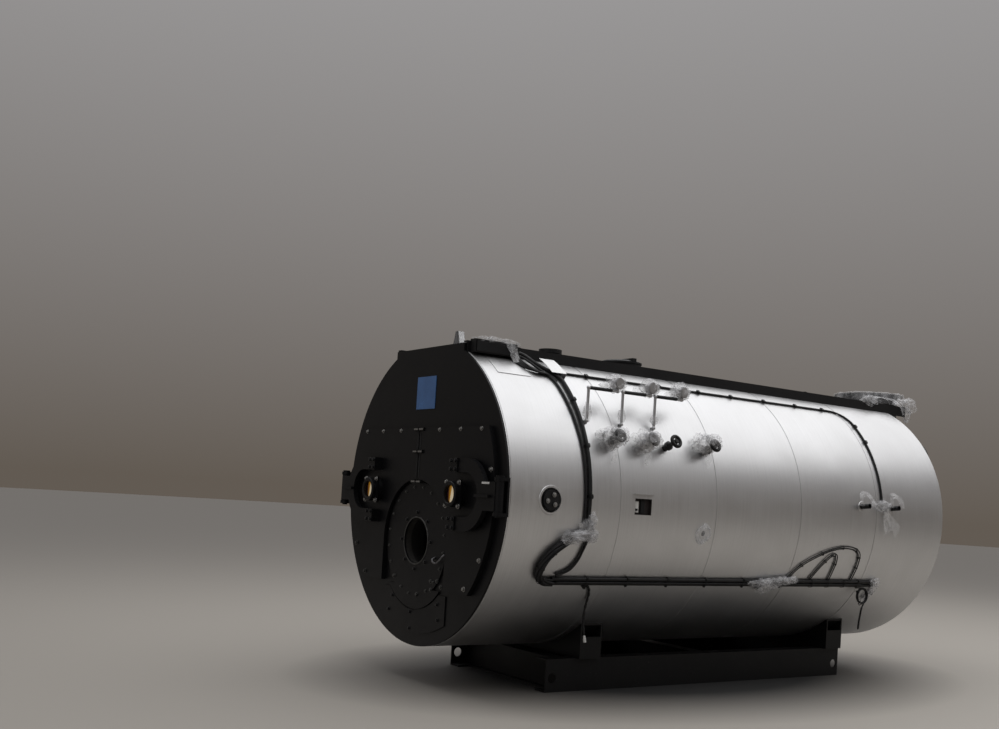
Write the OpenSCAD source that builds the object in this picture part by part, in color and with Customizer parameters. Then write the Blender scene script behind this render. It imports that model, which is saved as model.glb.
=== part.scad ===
/* [Vessel] */
// Outside radius of the jacket
jacket_r = 1400; // [1340:10:1500]
// Length from the front face to the rear face
body_l = 5940; // [5600:20:6400]
// Gap between the jacket and the skid beams
vessel_clear = 40; // [30:5:80]
// Thickness of insulation and cladding together
jacket_t = 100; // [85:5:120]
// Wall of the pressure shell
shell_t = 16; // [10:1:24]
// Thickness of the front and rear face plates
face_t = 20; // [12:1:30]
// Thickness of the tube plate and the rear head
tube_plate_t = 22; // [16:1:32]
// Depth of the front smokebox, front face to tube plate
smokebox_d = 480; // [420:10:560]
// Distance of the rear head from the rear face
rear_head_in = 350; // [300:10:400]
// Number of jacket bands along the body
band_count = 5; // [5:1:5]
// Width of the lowered lap at each band edge
lap_w = 14; // [8:1:24]
// Depth of that lap
lap_d = 3; // [2:0.5:5]

/* [Crown] */
// Half width of the squared crown of the face plates
crown_x = 600; // [560:10:610]
// Depth of the flat top under the top of the round
crown_drop = 65; // [55:1:70]
// Width that each kerb stands outside the crown
kerb_out = 20; // [10:1:40]
// Height of the kerbs over the flat top
kerb_rise = 20; // [15:1:60]
// Depth of the cut in the jacket under the flat top
cut_drop = 95; // [80:5:120]
// Plate thickness of the kerbs and the deck
walk_t = 12; // [8:1:12]
// Width of the kerbs' top flange
kerb_flange = 60; // [40:5:80]

/* [Doors] */
// Distance of the doors' outer edge inside the jacket's edge
door_in = 125; // [110:5:150]
// Top edge of the doors over the axis
door_top = 590; // [540:10:640]
// Bottom edge of the doors under the axis
door_bottom = 850; // [820:10:900]
// Half of the gap between the two doors
door_gap = 5; // [5:1:8]
// Radius of the arch cut around the burner
arch_r = 560; // [555:5:600]
// Height that the doors stand out from the front face
door_proud = 45; // [40:1:60]
// Thickness of the door skin
door_skin = 12; // [8:1:16]
// Width of the rim around each door
door_rim = 20; // [14:1:30]
// Width of the door frame that the rim lands on
door_land = 60; // [45:5:70]
// Gap between the lining and the door frame
lining_gap = 25; // [25:1:32]
// Depth of the lining behind the door skin
lining_d = 113; // [100:1:125]
// Width of each clasp lug at the middle of the doors
lug_w = 78; // [60:2:90]
// Height of each clasp lug
clasp_h = 30; // [20:2:36]
// Distance of the hinge pins inside the jacket's edge
hinge_in = 15; // [10:1:20]
// Distance of the hinge pins in front of the face
hinge_out = 70; // [68:1:80]
// Radius of the hinge pins
pin_r = 25; // [20:1:28]
// Radius of the hinge barrels
barrel_r = 40; // [38:1:45]
// Half length of the hinge barrels
barrel_h = 130; // [120:5:140]
// Thickness of the hinge ears
ear_t = 30; // [20:1:36]
// Distance from each hinge pin to the middle of its yoke's bend
yoke_bend = 455; // [430:5:480]
// Height of each yoke over and under the axis
yoke_h = 310; // [290:5:330]
// Width of the yoke's bar
yoke_w = 120; // [96:2:130]
// Thickness of the yokes
yoke_t = 45; // [35:1:50]
// Gap between each yoke's arm and the door skin
arm_gap = 5; // [4:1:8]
// Side of the four yoke feet
foot_w = 120; // [100:5:130]
// Distance of the sight ports from the centre line
port_x = 745; // [735:5:755]
// Side of the square flange of the sight ports
port_w = 250; // [230:5:255]
// Outside radius of the sight port's barrel
port_r = 112; // [105:1:118]
// Inside radius of the sight port's barrel
port_in_r = 78; // [70:1:84]
// Length of the sight port's body behind the clamp plate
port_base = 58; // [50:2:66]
// Thickness of the clamp plate with the four bolts
clamp_plate_t = 16; // [12:1:20]
// Length of the ring in front of the clamp plate
port_ring = 40; // [30:1:46]

/* [Burner and furnace] */
// Height of the furnace axis under the vessel axis
furnace_drop = 445; // [440:5:455]
// Inside radius of the furnace
furnace_r = 475; // [440:5:480]
// Wall of the furnace
furnace_t = 16; // [12:1:20]
// Length of the furnace from the front plate
furnace_l = 4900; // [4400:50:5000]
// Radius of the stiffening hoops on the furnace over its outside
hoop_h = 30; // [20:2:40]
// Radius of the burner opening
burner_r = 210; // [180:5:235]
// Radius of the burner plate inside the arch
burner_plate_r = 540; // [535:1:545]
// Radius of the burner plate's foot under the doors
burner_foot_r = 620; // [600:5:640]
// Thickness of the burner plate
burner_plate_t = 16; // [10:1:20]
// Radius of the bolt circle on the burner opening
burner_bolt_pcr = 260; // [255:5:290]
// Number of bolts around the burner opening
burner_bolts = 8; // [6:1:12]
// Radius of those bolt holes
burner_bolt_r = 9; // [6:1:12]
// Length of the refractory throat
throat_l = 250; // [200:10:300]
// Widening of the throat from its front to its rear
throat_flare = 90; // [60:5:120]
// Gap between the throat and the furnace
throat_gap = 1; // [0.5:0.5:3]
// Outside radius of one fire tube
tube_r = 38; // [30:1:40]
// Wall of one fire tube
tube_t = 4; // [3:1:6]
// Distance between fire tubes
tube_pitch = 130; // [120:2:140]
// Length that the fire tubes stand out of the tube plate
tube_out = 8; // [5:1:15]
// Clear plate between the fire tubes and the shell or the furnace
tube_margin = 70; // [60:5:90]
// Thickness of the lower front cover
cover_t = 10; // [8:1:16]

/* [Skid] */
// Length of the skid
skid_l = 4040; // [3800:20:4400]
// Outside width of the skid
skid_w = 1610; // [1560:10:1700]
// Height of the skid beams
beam_h = 300; // [280:10:320]
// Width of the beam flanges
flange_w = 150; // [120:5:180]
// Thickness of the beam flanges
flange_t = 16; // [12:1:20]
// Thickness of the beam webs
web_t = 12; // [8:1:14]
// Radius of the lashing holes in the beam ends
lash_r = 45; // [35:1:50]
// Distance of the lashing holes from the beam ends
lash_in = 75; // [70:5:90]
// Height of the lashing holes over the floor
lash_h = 128; // [110:2:160]
// Distance of the outer cross members from the skid ends
cross_in = 205; // [200:5:240]
// Distance from the centre to the middle of the front saddle
saddle_front = 1550; // [1500:10:1600]
// Distance from the centre to the middle of the rear saddle
saddle_rear = 1880; // [1830:10:1890]
// Length of each saddle along the body
saddle_l = 250; // [220:10:260]
// Half width of the saddles at their top
saddle_x = 850; // [820:10:880]
// Height of the closed foot of each saddle over the beams
foot_h = 200; // [160:10:220]
// Distance of the inner ribs from the middle of the saddles
rib_x = 400; // [350:10:450]
// Plate thickness of the saddles
saddle_t = 16; // [12:1:20]

/* [Rear smokebox and flue] */
// Length of the kerbs past the rear face
kerb_over = 290; // [200:10:300]
// Width of the jacket's rim left bare around the rear face
rear_rim = 20; // [16:1:24]
// Depth of the rear smokebox behind the rear face
rear_box_d = 800; // [780:10:860]
// Half width of the rear smokebox
rear_box_x = 620; // [590:10:640]
// Depth of its top under the top of the jacket
rear_box_drop = 420; // [400:10:440]
// Bottom of the rear smokebox under the axis
rear_box_bottom = 250; // [220:10:300]
// Rounding of the rear smokebox corners
rear_box_round = 230; // [200:5:235]
// Plate thickness of the rear smokebox
rear_box_t = 8; // [6:1:12]
// Width of plate left around and between the rear covers
rear_land = 90; // [70:5:110]
// Inside radius of the flue outlet
flue_r = 330; // [300:5:340]
// Wall of the flue outlet
flue_t = 8; // [5:1:12]
// Height of the flue flange over the top of the jacket
flue_rise = 130; // [40:5:160]
// Radius of the flue flange
flue_flange_r = 400; // [390:5:410]
// Number of bolt holes in the flue flange
flue_bolts = 12; // [8:2:16]

/* [Top fittings] */
// Distance of the front lifting lug from the middle
lug_front = 1980; // [1900:10:2020]
// Distance of the rear lifting lug from the middle
lug_rear = 2180; // [2100:10:2250]
// Radius of the lifting eyes
lug_eye_r = 45; // [35:1:50]
// Thickness of the lifting lugs
lug_t = 40; // [30:1:50]
// Length of the lifting lugs at their foot
lug_l = 240; // [220:10:280]
// Height of the lifting lugs over the deck
lug_h = 125; // [120:5:140]
// Inside radius of the manhole neck
manhole_r = 200; // [190:5:215]
// Height of the manhole cover over the deck
manhole_h = 150; // [130:5:160]
// Distance of the manhole in front of the middle
manhole_y = 670; // [600:10:720]
// Inside radius of the steam outlet
steam_r = 100; // [80:5:110]
// Distance of the steam outlet behind the middle
steam_y = 200; // [150:10:300]
// Inside radius of each safety valve nozzle
safety_r = 40; // [30:1:50]
// Distance of the first safety nozzle behind the middle
safety_y = 800; // [700:10:900]
// Distance between the safety nozzles
safety_pitch = 420; // [300:10:500]
// Inside radius of the blanked nozzle at the front
blank_r = 75; // [60:5:80]
// Height of the steam and safety flanges over the deck
nozzle_h = 60; // [50:5:80]
// Clearance between the nozzles and the holes in the deck
deck_gap = 8; // [5:1:15]

/* [Side fittings] */
// Distance of the hand hole from the front face
hand_in = 445; // [400:5:500]
// Radius of the hand hole cover
hand_r = 96; // [80:2:104]
// Outside radius of the gauge pipes
pipe_r = 13; // [10:1:16]
// Height of each gauge pipe over its elbow
pipe_h = 290; // [240:10:340]
// Length of the arm from each gauge pipe to its head
gauge_arm = 330; // [300:10:330]
// Radius of the gauge heads
gauge_r = 52; // [45:1:55]
// Depth of the gauge heads
gauge_d = 60; // [40:5:80]
// Angle of the gauge pipes over the horizontal
gauge_angle = 30; // [28:1:32]
// Angle of the valve row over the horizontal
valve_angle = 22.5; // [20:0.5:25]
// Length that the valves stand out of the jacket
valve_out = 170; // [160:5:200]
// Radius of the valve bodies
valve_r = 26; // [20:1:30]
// Radius of the handwheels
wheel_r = 60; // [50:2:70]
// Gap between the jacket and what passes through it
pass_gap = 8; // [6:1:12]
// Angle of the rear nipples over the horizontal
nipple_angle = 5.2; // [5:0.1:8]
// Radius of the rear nipples
nipple_r = 26; // [20:1:30]
// Length that the nipples stand out of the jacket
nipple_out = 100; // [80:5:130]
// Half height of the gauge window
window_h = 72; // [60:2:80]
// Half length of the gauge window along the body
window_l = 98; // [85:1:105]
// Length that the drip ledge stands out over the window
ledge_out = 28; // [20:1:36]

/* [Cables] */
// Radius of the main cables
loom_r = 18; // [14:1:18]
// Radius of the thick bundle in the service loop
bundle_r = 36; // [30:1:36]
// Radius of the thin cables
thin_r = 11; // [9:1:11]
// Radius of the thin conduit
conduit_r = 10; // [8:1:10]
// Radius of the free cable tails
tail_r = 7; // [6:0.5:7.5]
// Angle of the upper cable of the lower run under the horizontal
run_angle = 28.3; // [28:0.1:28.6]
// Angle of the thin conduit over the horizontal
conduit_angle = 55; // [54:0.1:56]
// Radius of the rear ring coil, to the middle of its turns
coil_r = 80; // [70:1:84]
// Radius of the bundle of turns in that coil
coil_bundle_r = 15; // [12:1:16]
// Width of the cable clips
clip_w = 20; // [14:1:26]
// Thickness of the cable clips
clip_t = 4; // [3:1:6]

/* [Hidden] */
$fn = 96;

// Running and seating gaps
fit_gap = 0.3;
pin_gap = 0.08;

// Levels and stations
axis_h = beam_h + vessel_clear + jacket_r;
front_y = -body_l / 2;
rear_y = body_l / 2;
face_back = front_y + face_t;
rear_front = rear_y - face_t;
shell_r = jacket_r - jacket_t;
shell_in_r = shell_r - shell_t;
tube_y = front_y + smokebox_d;
rear_head_y = rear_y - rear_head_in;
band_l = (rear_front - face_back) / band_count;
crown_z = jacket_r - crown_drop;
kerb_x = crown_x + kerb_out;
kerb_z = crown_z + kerb_rise;
cut_z = crown_z - cut_drop;

// Doors
door_r = jacket_r - door_in;
door_y = front_y - door_proud;
hinge_x = jacket_r - hinge_in;
hinge_y = front_y - hinge_out;
bend_x = hinge_x - yoke_bend;
yoke_back = door_y - 25;
yoke_front = yoke_back - yoke_t;
clasp_z = [door_top - clasp_h, door_top - 235, door_top - 510];

// Furnace
furnace_z = -furnace_drop;
furnace_or = furnace_r + furnace_t;

// Skid and rear
beam_x = skid_w / 2;
beam_in = beam_x - flange_w;
beam_under = beam_h - axis_h;
saddle_top = -sqrt(jacket_r ^ 2 - saddle_x ^ 2);
rear_box_top = jacket_r - rear_box_drop;
flue_z = jacket_r + flue_rise;
flue_y = rear_y + rear_box_d / 2;
cover_w = rear_box_x - 1.5 * rear_land;
rear_door_top = rear_box_top - rear_box_round;
rear_door_bottom = rear_box_round - rear_box_bottom;

// Places along the body
hand_y = front_y + hand_in;
gauge_ys = [front_y + 910, front_y + 1305, front_y + 1693];
valve_ys = [front_y + 1130, front_y + 1523, front_y + 1790, front_y + 2287];
window_y = front_y + 1478;
window_angle = -0.5;
plug_y = front_y + 2248;
plug_angle = -9.3;
nipple_ys = [rear_y - 1430, rear_y - 940];
blank_y = front_y + 1385;
box_back = front_y + 520;
hatch_l = 350;
hatch_span = 11.4;
hatch_top = atan2(cut_z, kerb_x) - 2;

// Round openings in the jacket: place along the body, angle, radius
JACKET_HOLES = concat(
    [[hand_y, 0, hand_r + pass_gap], [plug_y, plug_angle, nipple_r + pass_gap]],
    [for (y = gauge_ys) [y, gauge_angle, pipe_r + pass_gap]],
    [for (y = valve_ys) [y, valve_angle, valve_r + pass_gap]],
    [for (y = nipple_ys) [y, nipple_angle, nipple_r + pass_gap]]
);

// Cable runs
run_step = 2.35 * loom_r / jacket_r * 57.3;
run_low = run_angle + run_step;
run_start = front_y + 613;
run_end = front_y + 4960;
drop_y = front_y + 850;
drop_top = 48;
drop_end = -9.95;
rear_drop_y = front_y + 4835;
rear_drop_top = 46;
rear_drop_end = 8;
conduit_start = front_y + 930;
conduit_end = front_y + 4480;
coil_y = front_y + 4800;
coil_x = (jacket_r + loom_r + fit_gap) * cos(run_low);
coil_z = axis_h - (jacket_r + loom_r + fit_gap) * sin(run_low) - loom_r - coil_r - coil_bundle_r - fit_gap;

// Places of the clips: distances behind the front face, and angles on the drops
RUN_STRAPS = [1475, 1965, 2455, 2965, 3500, 4700];
TAIL_STRAP = 1010;
CONDUIT_CLIPS = [1210, 1660, 2110, 2640, 3095, 3580, 4065];
REAR_DROP_CLIPS = [35.8, 45];
DROP_CLIPS = [2, 20, 39];

// Routes on the jacket: distance behind the front face, angle, height of the middle of the cable
LEAD_IN = [
    [520.4, 63.4, 53], [545, 63.4, 53], [570, 63.4, 53], [610, 62, 46], [660, 58.8, 32], [725, 55.9, 24.5],
    [790, 53.4, 20.5], [832, 51.3, 18.6], [850, 49.2, 18.4], [850, 48.03, 18.3]
];
THIN_DROP = [
    [520.4, 61.8, 38], [540, 61.8, 38], [560, 61.8, 38], [600, 60.2, 31], [650, 57, 20], [690, 54.3, 14],
    [755, 49, 12], [770, 43, 12], [780, 36, 12],
    [792, 28, 12], [804, 20, 12], [808, 12, 12], [810, 4, 12], [812, -4, 12], [816, -7, 12]
];
BUNDLE = [
    [850, -11.5, 37], [745, -11.8, 37], [640, -14, 37], [530, -17.5, 37], [462, -21.5, 37],
    [442, -25, 37], [470, -27.8, 37], [540, -29.2, 37], [612, -29.3, 37]
];
INNER_PAIR = [
    [880, -12, 19], [858, -16.5, 19], [830, -20.5, 19], [775, -24, 19], [690, -26, 19], [640, -26.6, 19]
];
REAR_OUTER = [
    [3570, -27.5, 12], [3660, -22.5, 12], [3800, -18.6, 12], [4040, -14.5, 12], [4260, -12.7, 12],
    [4440, -13, 12], [4540, -15, 12], [4567, -18.5, 12], [4568, -22.5, 12], [4560, -27.5, 12]
];
REAR_INNER = [
    [3905, -27.5, 12], [4000, -21, 12], [4110, -16.6, 12], [4185, -16.2, 12],
    [4212, -18.8, 12], [4208, -22.5, 12], [4203, -27.5, 12]
];
CONDUIT_BEND = [
    [4480.3, 55, 10.3], [4590, 55, 10.3], [4700, 54.3, 10.3], [4785, 51.9, 10.3], [4827, 48.7, 10.3],
    [4835, 46.8, 10.3], [4835, 46.03, 10.3]
];

// Routes of the hanging tails, in the part's own x, y and z
FRONT_TAIL = [
    [1211, -1959.6, 1006], [1211, -1943, 1006], [1210, -1926, 1003], [1200, -1900, 987],
    [1168, -1868, 938], [1128, -1850, 880], [1100, -1846, 810],
    [1086, -1846, 730], [1082, -1842, 650], [1086, -1834, 590], [1090, -1828, 540]
];
REAR_TAIL = [
    [1228, 1830, 821.6], [1228, 1830, 800], [1228, 1829, 775], [1227, 1820, 720], [1226, 1806, 650], [1226, 1796, 560]
];

// Curve through the points, each step cut in n
function bend(a, b, c, d, t) =
    0.5 * (2 * b + (c - a) * t + (2 * a - 5 * b + 4 * c - d) * t ^ 2 + (3 * b - a - 3 * c + d) * t ^ 3);
function smooth(p, n) = concat(
    [for (i = [0 : len(p) - 2]) for (j = [0 : n - 1])
        bend(p[max(i - 1, 0)], p[i], p[i + 1], p[min(i + 2, len(p) - 1)], j / n)],
    [p[len(p) - 1]]
);
function unit(v) = v / norm(v);

// Point at a distance behind the front face, an angle and a height over the jacket
function jacket_point(p) = [
    (jacket_r + p[2]) * cos(p[1]), front_y + p[0], axis_h + (jacket_r + p[2]) * sin(p[1])
];

// Round tube along a path on the jacket's side
module cable(path, r, sides = 8) {
    last = len(path) - 1;
    rings = [for (i = [0 : last])
        let (
            t = unit(path[min(i + 1, last)] - path[max(i - 1, 0)]),
            out = [path[i][0], 0, path[i][2] - axis_h],
            n = unit(out - (out * t) * t),
            b = cross(t, n)
        )
        for (k = [0 : sides - 1])
            path[i] + r * (cos(360 * k / sides) * n + sin(360 * k / sides) * b)
    ];
    walls = [for (i = [0 : last - 1]) for (k = [0 : sides - 1])
        let (k1 = (k + 1) % sides)
        [i * sides + k, (i + 1) * sides + k, (i + 1) * sides + k1, i * sides + k1]
    ];
    ends = [[for (k = [0 : sides - 1]) k], [for (k = [sides - 1 : -1 : 0]) last * sides + k]];
    polyhedron(points = rings, faces = concat(walls, ends), convexity = 10);
}

module jacket_cable(route, r) {
    cable([for (p = smooth(route, 2)) jacket_point(p)], r);
}

// Ring of cable around the body at y, from angle a0 up to a1
module jacket_arc(y, a0, a1, r) {
    translate([0, y, axis_h]) rotate([90, 0, 0]) rotate([0, 0, a0])
        rotate_extrude(angle = a1 - a0, $fn = 240)
        translate([jacket_r + r + fit_gap, 0]) circle(r, $fn = 24);
}

// Straight cable along the body at an angle
module jacket_run(y0, y1, angle, r) {
    on_jacket(y0, angle) translate([r + fit_gap, 0, 0])
        rotate([-90, 0, 0]) cylinder(r = r, h = y1 - y0, $fn = 24);
}

// Extrudes a profile drawn in x and z, measured from the vessel axis, from y0 to y1
module slab(y0, y1) {
    translate([0, y1, axis_h]) rotate([90, 0, 0]) linear_extrude(y1 - y0) children();
}

module drum(y0, y1, r) {
    slab(y0, y1) circle(r, $fn = r > 300 ? 360 : 96);
}

module ring(y0, y1, r_out, r_in) {
    slab(y0, y1) difference() {
        circle(r_out, $fn = 240);
        circle(r_in, $fn = 240);
    }
}

// Places a child on the jacket at y and an angle: x runs outward and z up along the jacket
module on_jacket(y, angle) {
    translate([0, y, axis_h]) rotate([0, -angle, 0]) translate([jacket_r, 0, 0]) children();
}

// Places a child on the shell so that its z runs straight outward
module on_shell(y, angle) {
    on_jacket(y, angle) rotate([0, 90, 0]) translate([0, 0, -jacket_t]) children();
}

module left_and_right() {
    children();
    mirror([1, 0, 0]) children();
}

// Outline of a face plate: a disc with a flat top and squared crown corners
module face_outline(inset = 0) {
    difference() {
        circle(jacket_r - inset, $fn = 240);
        translate([-jacket_r, crown_z - inset]) square([2 * jacket_r, jacket_r]);
    }
    translate([inset - crown_x, 0]) square([2 * (crown_x - inset), crown_z - inset]);
}

// Outline of the right hand door, drawn smaller all round by inset
module door_outline(inset) {
    difference() {
        circle(door_r - inset, $fn = 240);
        translate([-2 * door_r, -2 * door_r]) square([2 * door_r + door_gap + inset, 4 * door_r]);
        translate([0, door_top - inset]) square([2 * door_r, door_r]);
        translate([0, -door_bottom + inset - door_r]) square([2 * door_r, door_r]);
        translate([0, furnace_z]) circle(arch_r + inset, $fn = 180);
        translate([0, furnace_z - door_r]) square([arch_r + inset, door_r]);
    }
}

module front_plate() {
    color("#1d1d1f") slab(front_y, face_back) difference() {
        face_outline();
        door_outline(door_land);
        mirror([1, 0]) door_outline(door_land);
        translate([0, furnace_z]) circle(furnace_r);
    }
}

// Door skin with a rim behind it and three clasp lugs at the middle
module door() {
    color("#202022") {
        slab(door_y, door_y + door_skin) door_outline(0);
        slab(door_y + door_skin, front_y - fit_gap) difference() {
            door_outline(0);
            door_outline(door_rim);
        }
        for (z = clasp_z) {
            slab(door_y - 14, door_y) translate([door_gap, z]) square([lug_w, clasp_h]);
        }
    }
}

module lining() {
    color("#b8b0a0") slab(door_y + door_skin, door_y + door_skin + lining_d)
        door_outline(door_land + lining_gap);
}

// Outline of the yoke's bent bar, open towards the middle of the door
module yoke_outline() {
    inner_h = yoke_h - yoke_w;
    difference() {
        union() {
            translate([bend_x, 0]) circle(yoke_h);
            translate([port_x - foot_w / 2, -yoke_h]) square([bend_x - port_x + foot_w / 2, 2 * yoke_h]);
        }
        translate([bend_x, 0]) circle(inner_h);
        translate([0, -inner_h]) square([bend_x, 2 * inner_h]);
    }
}

// Bent bar that carries the door at its feet, with its arm and hinge barrel
module yoke() {
    arm_x = bend_x + yoke_h - yoke_w / 2;
    arm_h = barrel_h - 10;
    color("#18181a") difference() {
        union() {
            slab(yoke_front, yoke_back) yoke_outline();
            for (s = [-1, 1]) {
                slab(yoke_front - 12, door_y) translate([port_x, s * (yoke_h - yoke_w / 2)])
                    square(foot_w, center = true);
            }
            slab(yoke_back, door_y)
                translate([arm_x - yoke_w / 2, -foot_w]) square([yoke_w, 2 * foot_w]);
            slab(yoke_front, door_y - arm_gap) translate([arm_x, -arm_h])
                square([hinge_x - arm_x, 2 * arm_h]);
            slab(yoke_front - 30, yoke_front) translate([arm_x - 60, -12])
                square([hinge_x - arm_x, 24]);
            translate([hinge_x, hinge_y, axis_h - barrel_h + fit_gap])
                cylinder(r = barrel_r, h = 2 * (barrel_h - fit_gap));
        }
        translate([hinge_x, hinge_y, axis_h - barrel_h - 1])
            cylinder(r = pin_r + pin_gap, h = 2 * barrel_h + 2);
    }
}

// Square flange, barrel and rounded mouth of the sight port, turned about its own axis
module sight_port() {
    lip = 6;
    clamp_front = door_y - port_base - clamp_plate_t;
    color("#141416") {
        slab(door_y - port_base, door_y) translate([port_x, 0]) difference() {
            circle(port_r);
            circle(port_in_r);
        }
        slab(clamp_front, door_y - port_base) translate([port_x, 0]) difference() {
            square(port_w, center = true);
            circle(port_in_r);
        }
        translate([port_x, clamp_front, axis_h]) rotate([90, 0, 0]) rotate_extrude() polygon([
            [port_in_r, 0],
            [port_r, 0],
            [port_r, port_ring - lip],
            [port_r - lip, port_ring],
            [port_in_r + lip, port_ring],
            [port_in_r, port_ring - lip]
        ]);
    }
    color("#c8922a") slab(door_y - port_base - clamp_plate_t, door_y) translate([port_x, 0]) circle(port_in_r);
}

// Two ears on a plate, with the pin through them
module hinge() {
    ear_r = barrel_r + 6;
    color("#18181a") {
        for (z = [-barrel_h - ear_t, barrel_h]) translate([0, 0, axis_h + z]) {
            translate([hinge_x, hinge_y, 0]) cylinder(r = ear_r, h = ear_t);
            translate([hinge_x - ear_r, hinge_y, 0]) cube([2 * ear_r, hinge_out, ear_t]);
        }
        slab(front_y - 20, front_y)
            translate([hinge_x - ear_r, -barrel_h - ear_t]) square([2 * ear_r, 2 * (barrel_h + ear_t)]);
        translate([hinge_x, hinge_y, axis_h - barrel_h - ear_t - 12])
            cylinder(r = pin_r, h = 2 * (barrel_h + ear_t) + 12);
        translate([hinge_x, hinge_y, axis_h + barrel_h + ear_t])
            cylinder(r = pin_r + 10, h = 14);
    }
}

// Round plate in the arch, with a wider foot under the doors
module burner_plate() {
    foot_top = -door_bottom - 15;
    color("#1b1b1d") slab(front_y - burner_plate_t, front_y) difference() {
        union() {
            translate([0, furnace_z]) circle(burner_plate_r, $fn = 180);
            intersection() {
                translate([0, furnace_z]) circle(burner_foot_r, $fn = 180);
                translate([-jacket_r, foot_top - jacket_r]) square([2 * jacket_r, jacket_r]);
            }
        }
        translate([0, furnace_z]) circle(burner_r);
        for (i = [0 : burner_bolts - 1]) {
            translate([0, furnace_z]) rotate(i * 360 / burner_bolts)
                translate([burner_bolt_pcr, 0]) circle(burner_bolt_r, $fn = 24);
        }
    }
}

module burner_throat() {
    out_r = furnace_r - throat_gap;
    color("#8f8678") translate([0, front_y + throat_l, axis_h + furnace_z]) rotate([90, 0, 0])
        rotate_extrude() polygon([
            [burner_r + throat_flare, 0],
            [out_r, 0],
            [out_r, throat_l],
            [burner_r + 4, throat_l],
            [burner_r + 4, throat_l - 60]
        ]);
}

// Crescent cover of the lower front, between the burner plate and the edge
module lower_cover() {
    color("#1e1e20") slab(front_y - cover_t, front_y) difference() {
        intersection() {
            circle(door_r + 10, $fn = 240);
            translate([-arch_r, -2 * jacket_r]) square([2 * arch_r, 2 * jacket_r - door_bottom - 50]);
        }
        translate([0, furnace_z]) circle(burner_foot_r + 12, $fn = 180);
    }
}

module furnace_tube() {
    hoops = 6;
    color("#6b4a3a") translate([0, 0, furnace_z]) {
        ring(face_back, face_back + furnace_l, furnace_or, furnace_r);
        for (i = [1 : hoops]) {
            y = tube_y + i * (face_back + furnace_l - tube_y) / (hoops + 1);
            ring(y, y + furnace_t, furnace_or + hoop_h, furnace_or);
        }
    }
}

module furnace_end() {
    color("#6b4a3a") translate([0, 0, furnace_z])
        drum(face_back + furnace_l, face_back + furnace_l + tube_plate_t, furnace_or + hoop_h);
}

module tube_plate() {
    color("#5a4438") slab(tube_y, tube_y + tube_plate_t) difference() {
        circle(shell_in_r, $fn = 240);
        translate([0, furnace_z]) circle(furnace_or, $fn = 240);
    }
}

// Staggered rows of tube ends on the tube plate, clear of the furnace and of the shell
module fire_tubes() {
    rows = 9;
    row_h = tube_pitch * sin(60);
    far = shell_in_r - tube_margin - tube_r;
    near = furnace_or + tube_margin;
    color("#4a3a32") for (j = [-rows : rows]) for (i = [-rows : rows]) {
        x = (i + (abs(j) % 2) / 2) * tube_pitch;
        z = j * row_h;
        if (norm([x, z]) < far && norm([x, z - furnace_z]) > near && z > furnace_z - tube_pitch) {
            slab(tube_y - tube_out, tube_y) translate([x, z]) difference() {
                circle(tube_r, $fn = 24);
                circle(tube_r - tube_t, $fn = 24);
            }
        }
    }
}

module smokebox_wrapper() {
    color("#4a4a4c") ring(face_back, tube_y, shell_r, shell_in_r);
}

module pressure_shell() {
    color("#4a4a4c") ring(tube_y, rear_head_y, shell_r, shell_in_r);
}

module rear_head() {
    color("#4a4a4c") drum(rear_head_y, rear_head_y + tube_plate_t, shell_r);
}

// One band of the jacket with lowered laps, cut flat under the walkway and pierced for the fittings
module jacket_band(i) {
    y0 = face_back + (i - 1) * band_l;
    y1 = y0 + band_l;
    color("#c9cacc") difference() {
        union() {
            drum(y0 + lap_w, y1 - lap_w, jacket_r);
            drum(y0, y1, jacket_r - lap_d);
        }
        drum(y0 - 1, y1 + 1, shell_r);
        slab(y0 - 1, y1 + 1) translate([-kerb_x, cut_z]) square([2 * kerb_x, jacket_r]);
        for (h = JACKET_HOLES) {
            if (h[0] + h[2] > y0 && h[0] - h[2] < y1) {
                on_shell(h[0], h[1]) translate([0, 0, -10]) cylinder(r = h[2], h = jacket_t + 20);
            }
        }
        if (window_y + window_l > y0 && window_y - window_l < y1) {
            on_jacket(window_y, window_angle) translate([-jacket_t - 10, -window_l, -window_h])
                cube([jacket_t + 20, 2 * window_l, 2 * window_h]);
        }
    }
}

module rear_plate() {
    color("#2a2a2c") slab(rear_front, rear_y) face_outline(rear_rim);
}

module rear_box_outline(inset) {
    x = rear_box_x - inset;
    top = rear_box_top - inset;
    bottom = rear_box_bottom - inset;
    r = rear_box_round - inset;
    for (s = [-1, 1]) {
        translate([s * (x - r), top - r]) circle(r);
        translate([s * (x - r), r - bottom]) circle(r);
    }
    translate([r - x, -bottom]) square([2 * (x - r), top + bottom]);
    translate([-x, r - bottom]) square([2 * x, top + bottom - 2 * r]);
}

module rear_smokebox() {
    color("#1e1e20") difference() {
        slab(rear_y, rear_y + rear_box_d) rear_box_outline(0);
        slab(rear_y - 1, rear_y + rear_box_d - rear_box_t) rear_box_outline(rear_box_t);
        translate([0, flue_y, axis_h + rear_box_top - 50]) cylinder(r = flue_r, h = 100);
    }
}

// Two dished cleaning covers with bow handles
module rear_covers() {
    back = rear_y + rear_box_d;
    h = rear_door_top - rear_door_bottom;
    color("#242426") left_and_right() {
        slab(back, back + 16) translate([rear_land / 2, rear_door_bottom]) square([cover_w, h]);
        slab(back + 16, back + 40) translate([rear_land / 2 + 35, rear_door_bottom + 35])
            square([cover_w - 70, h - 70]);
        translate([rear_land / 2 + cover_w / 2, back + 40, axis_h + rear_door_bottom + h / 2])
            rotate([0, -90, 0]) rotate_extrude(angle = 180)
            translate([70, 0]) circle(9, $fn = 24);
    }
}

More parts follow.
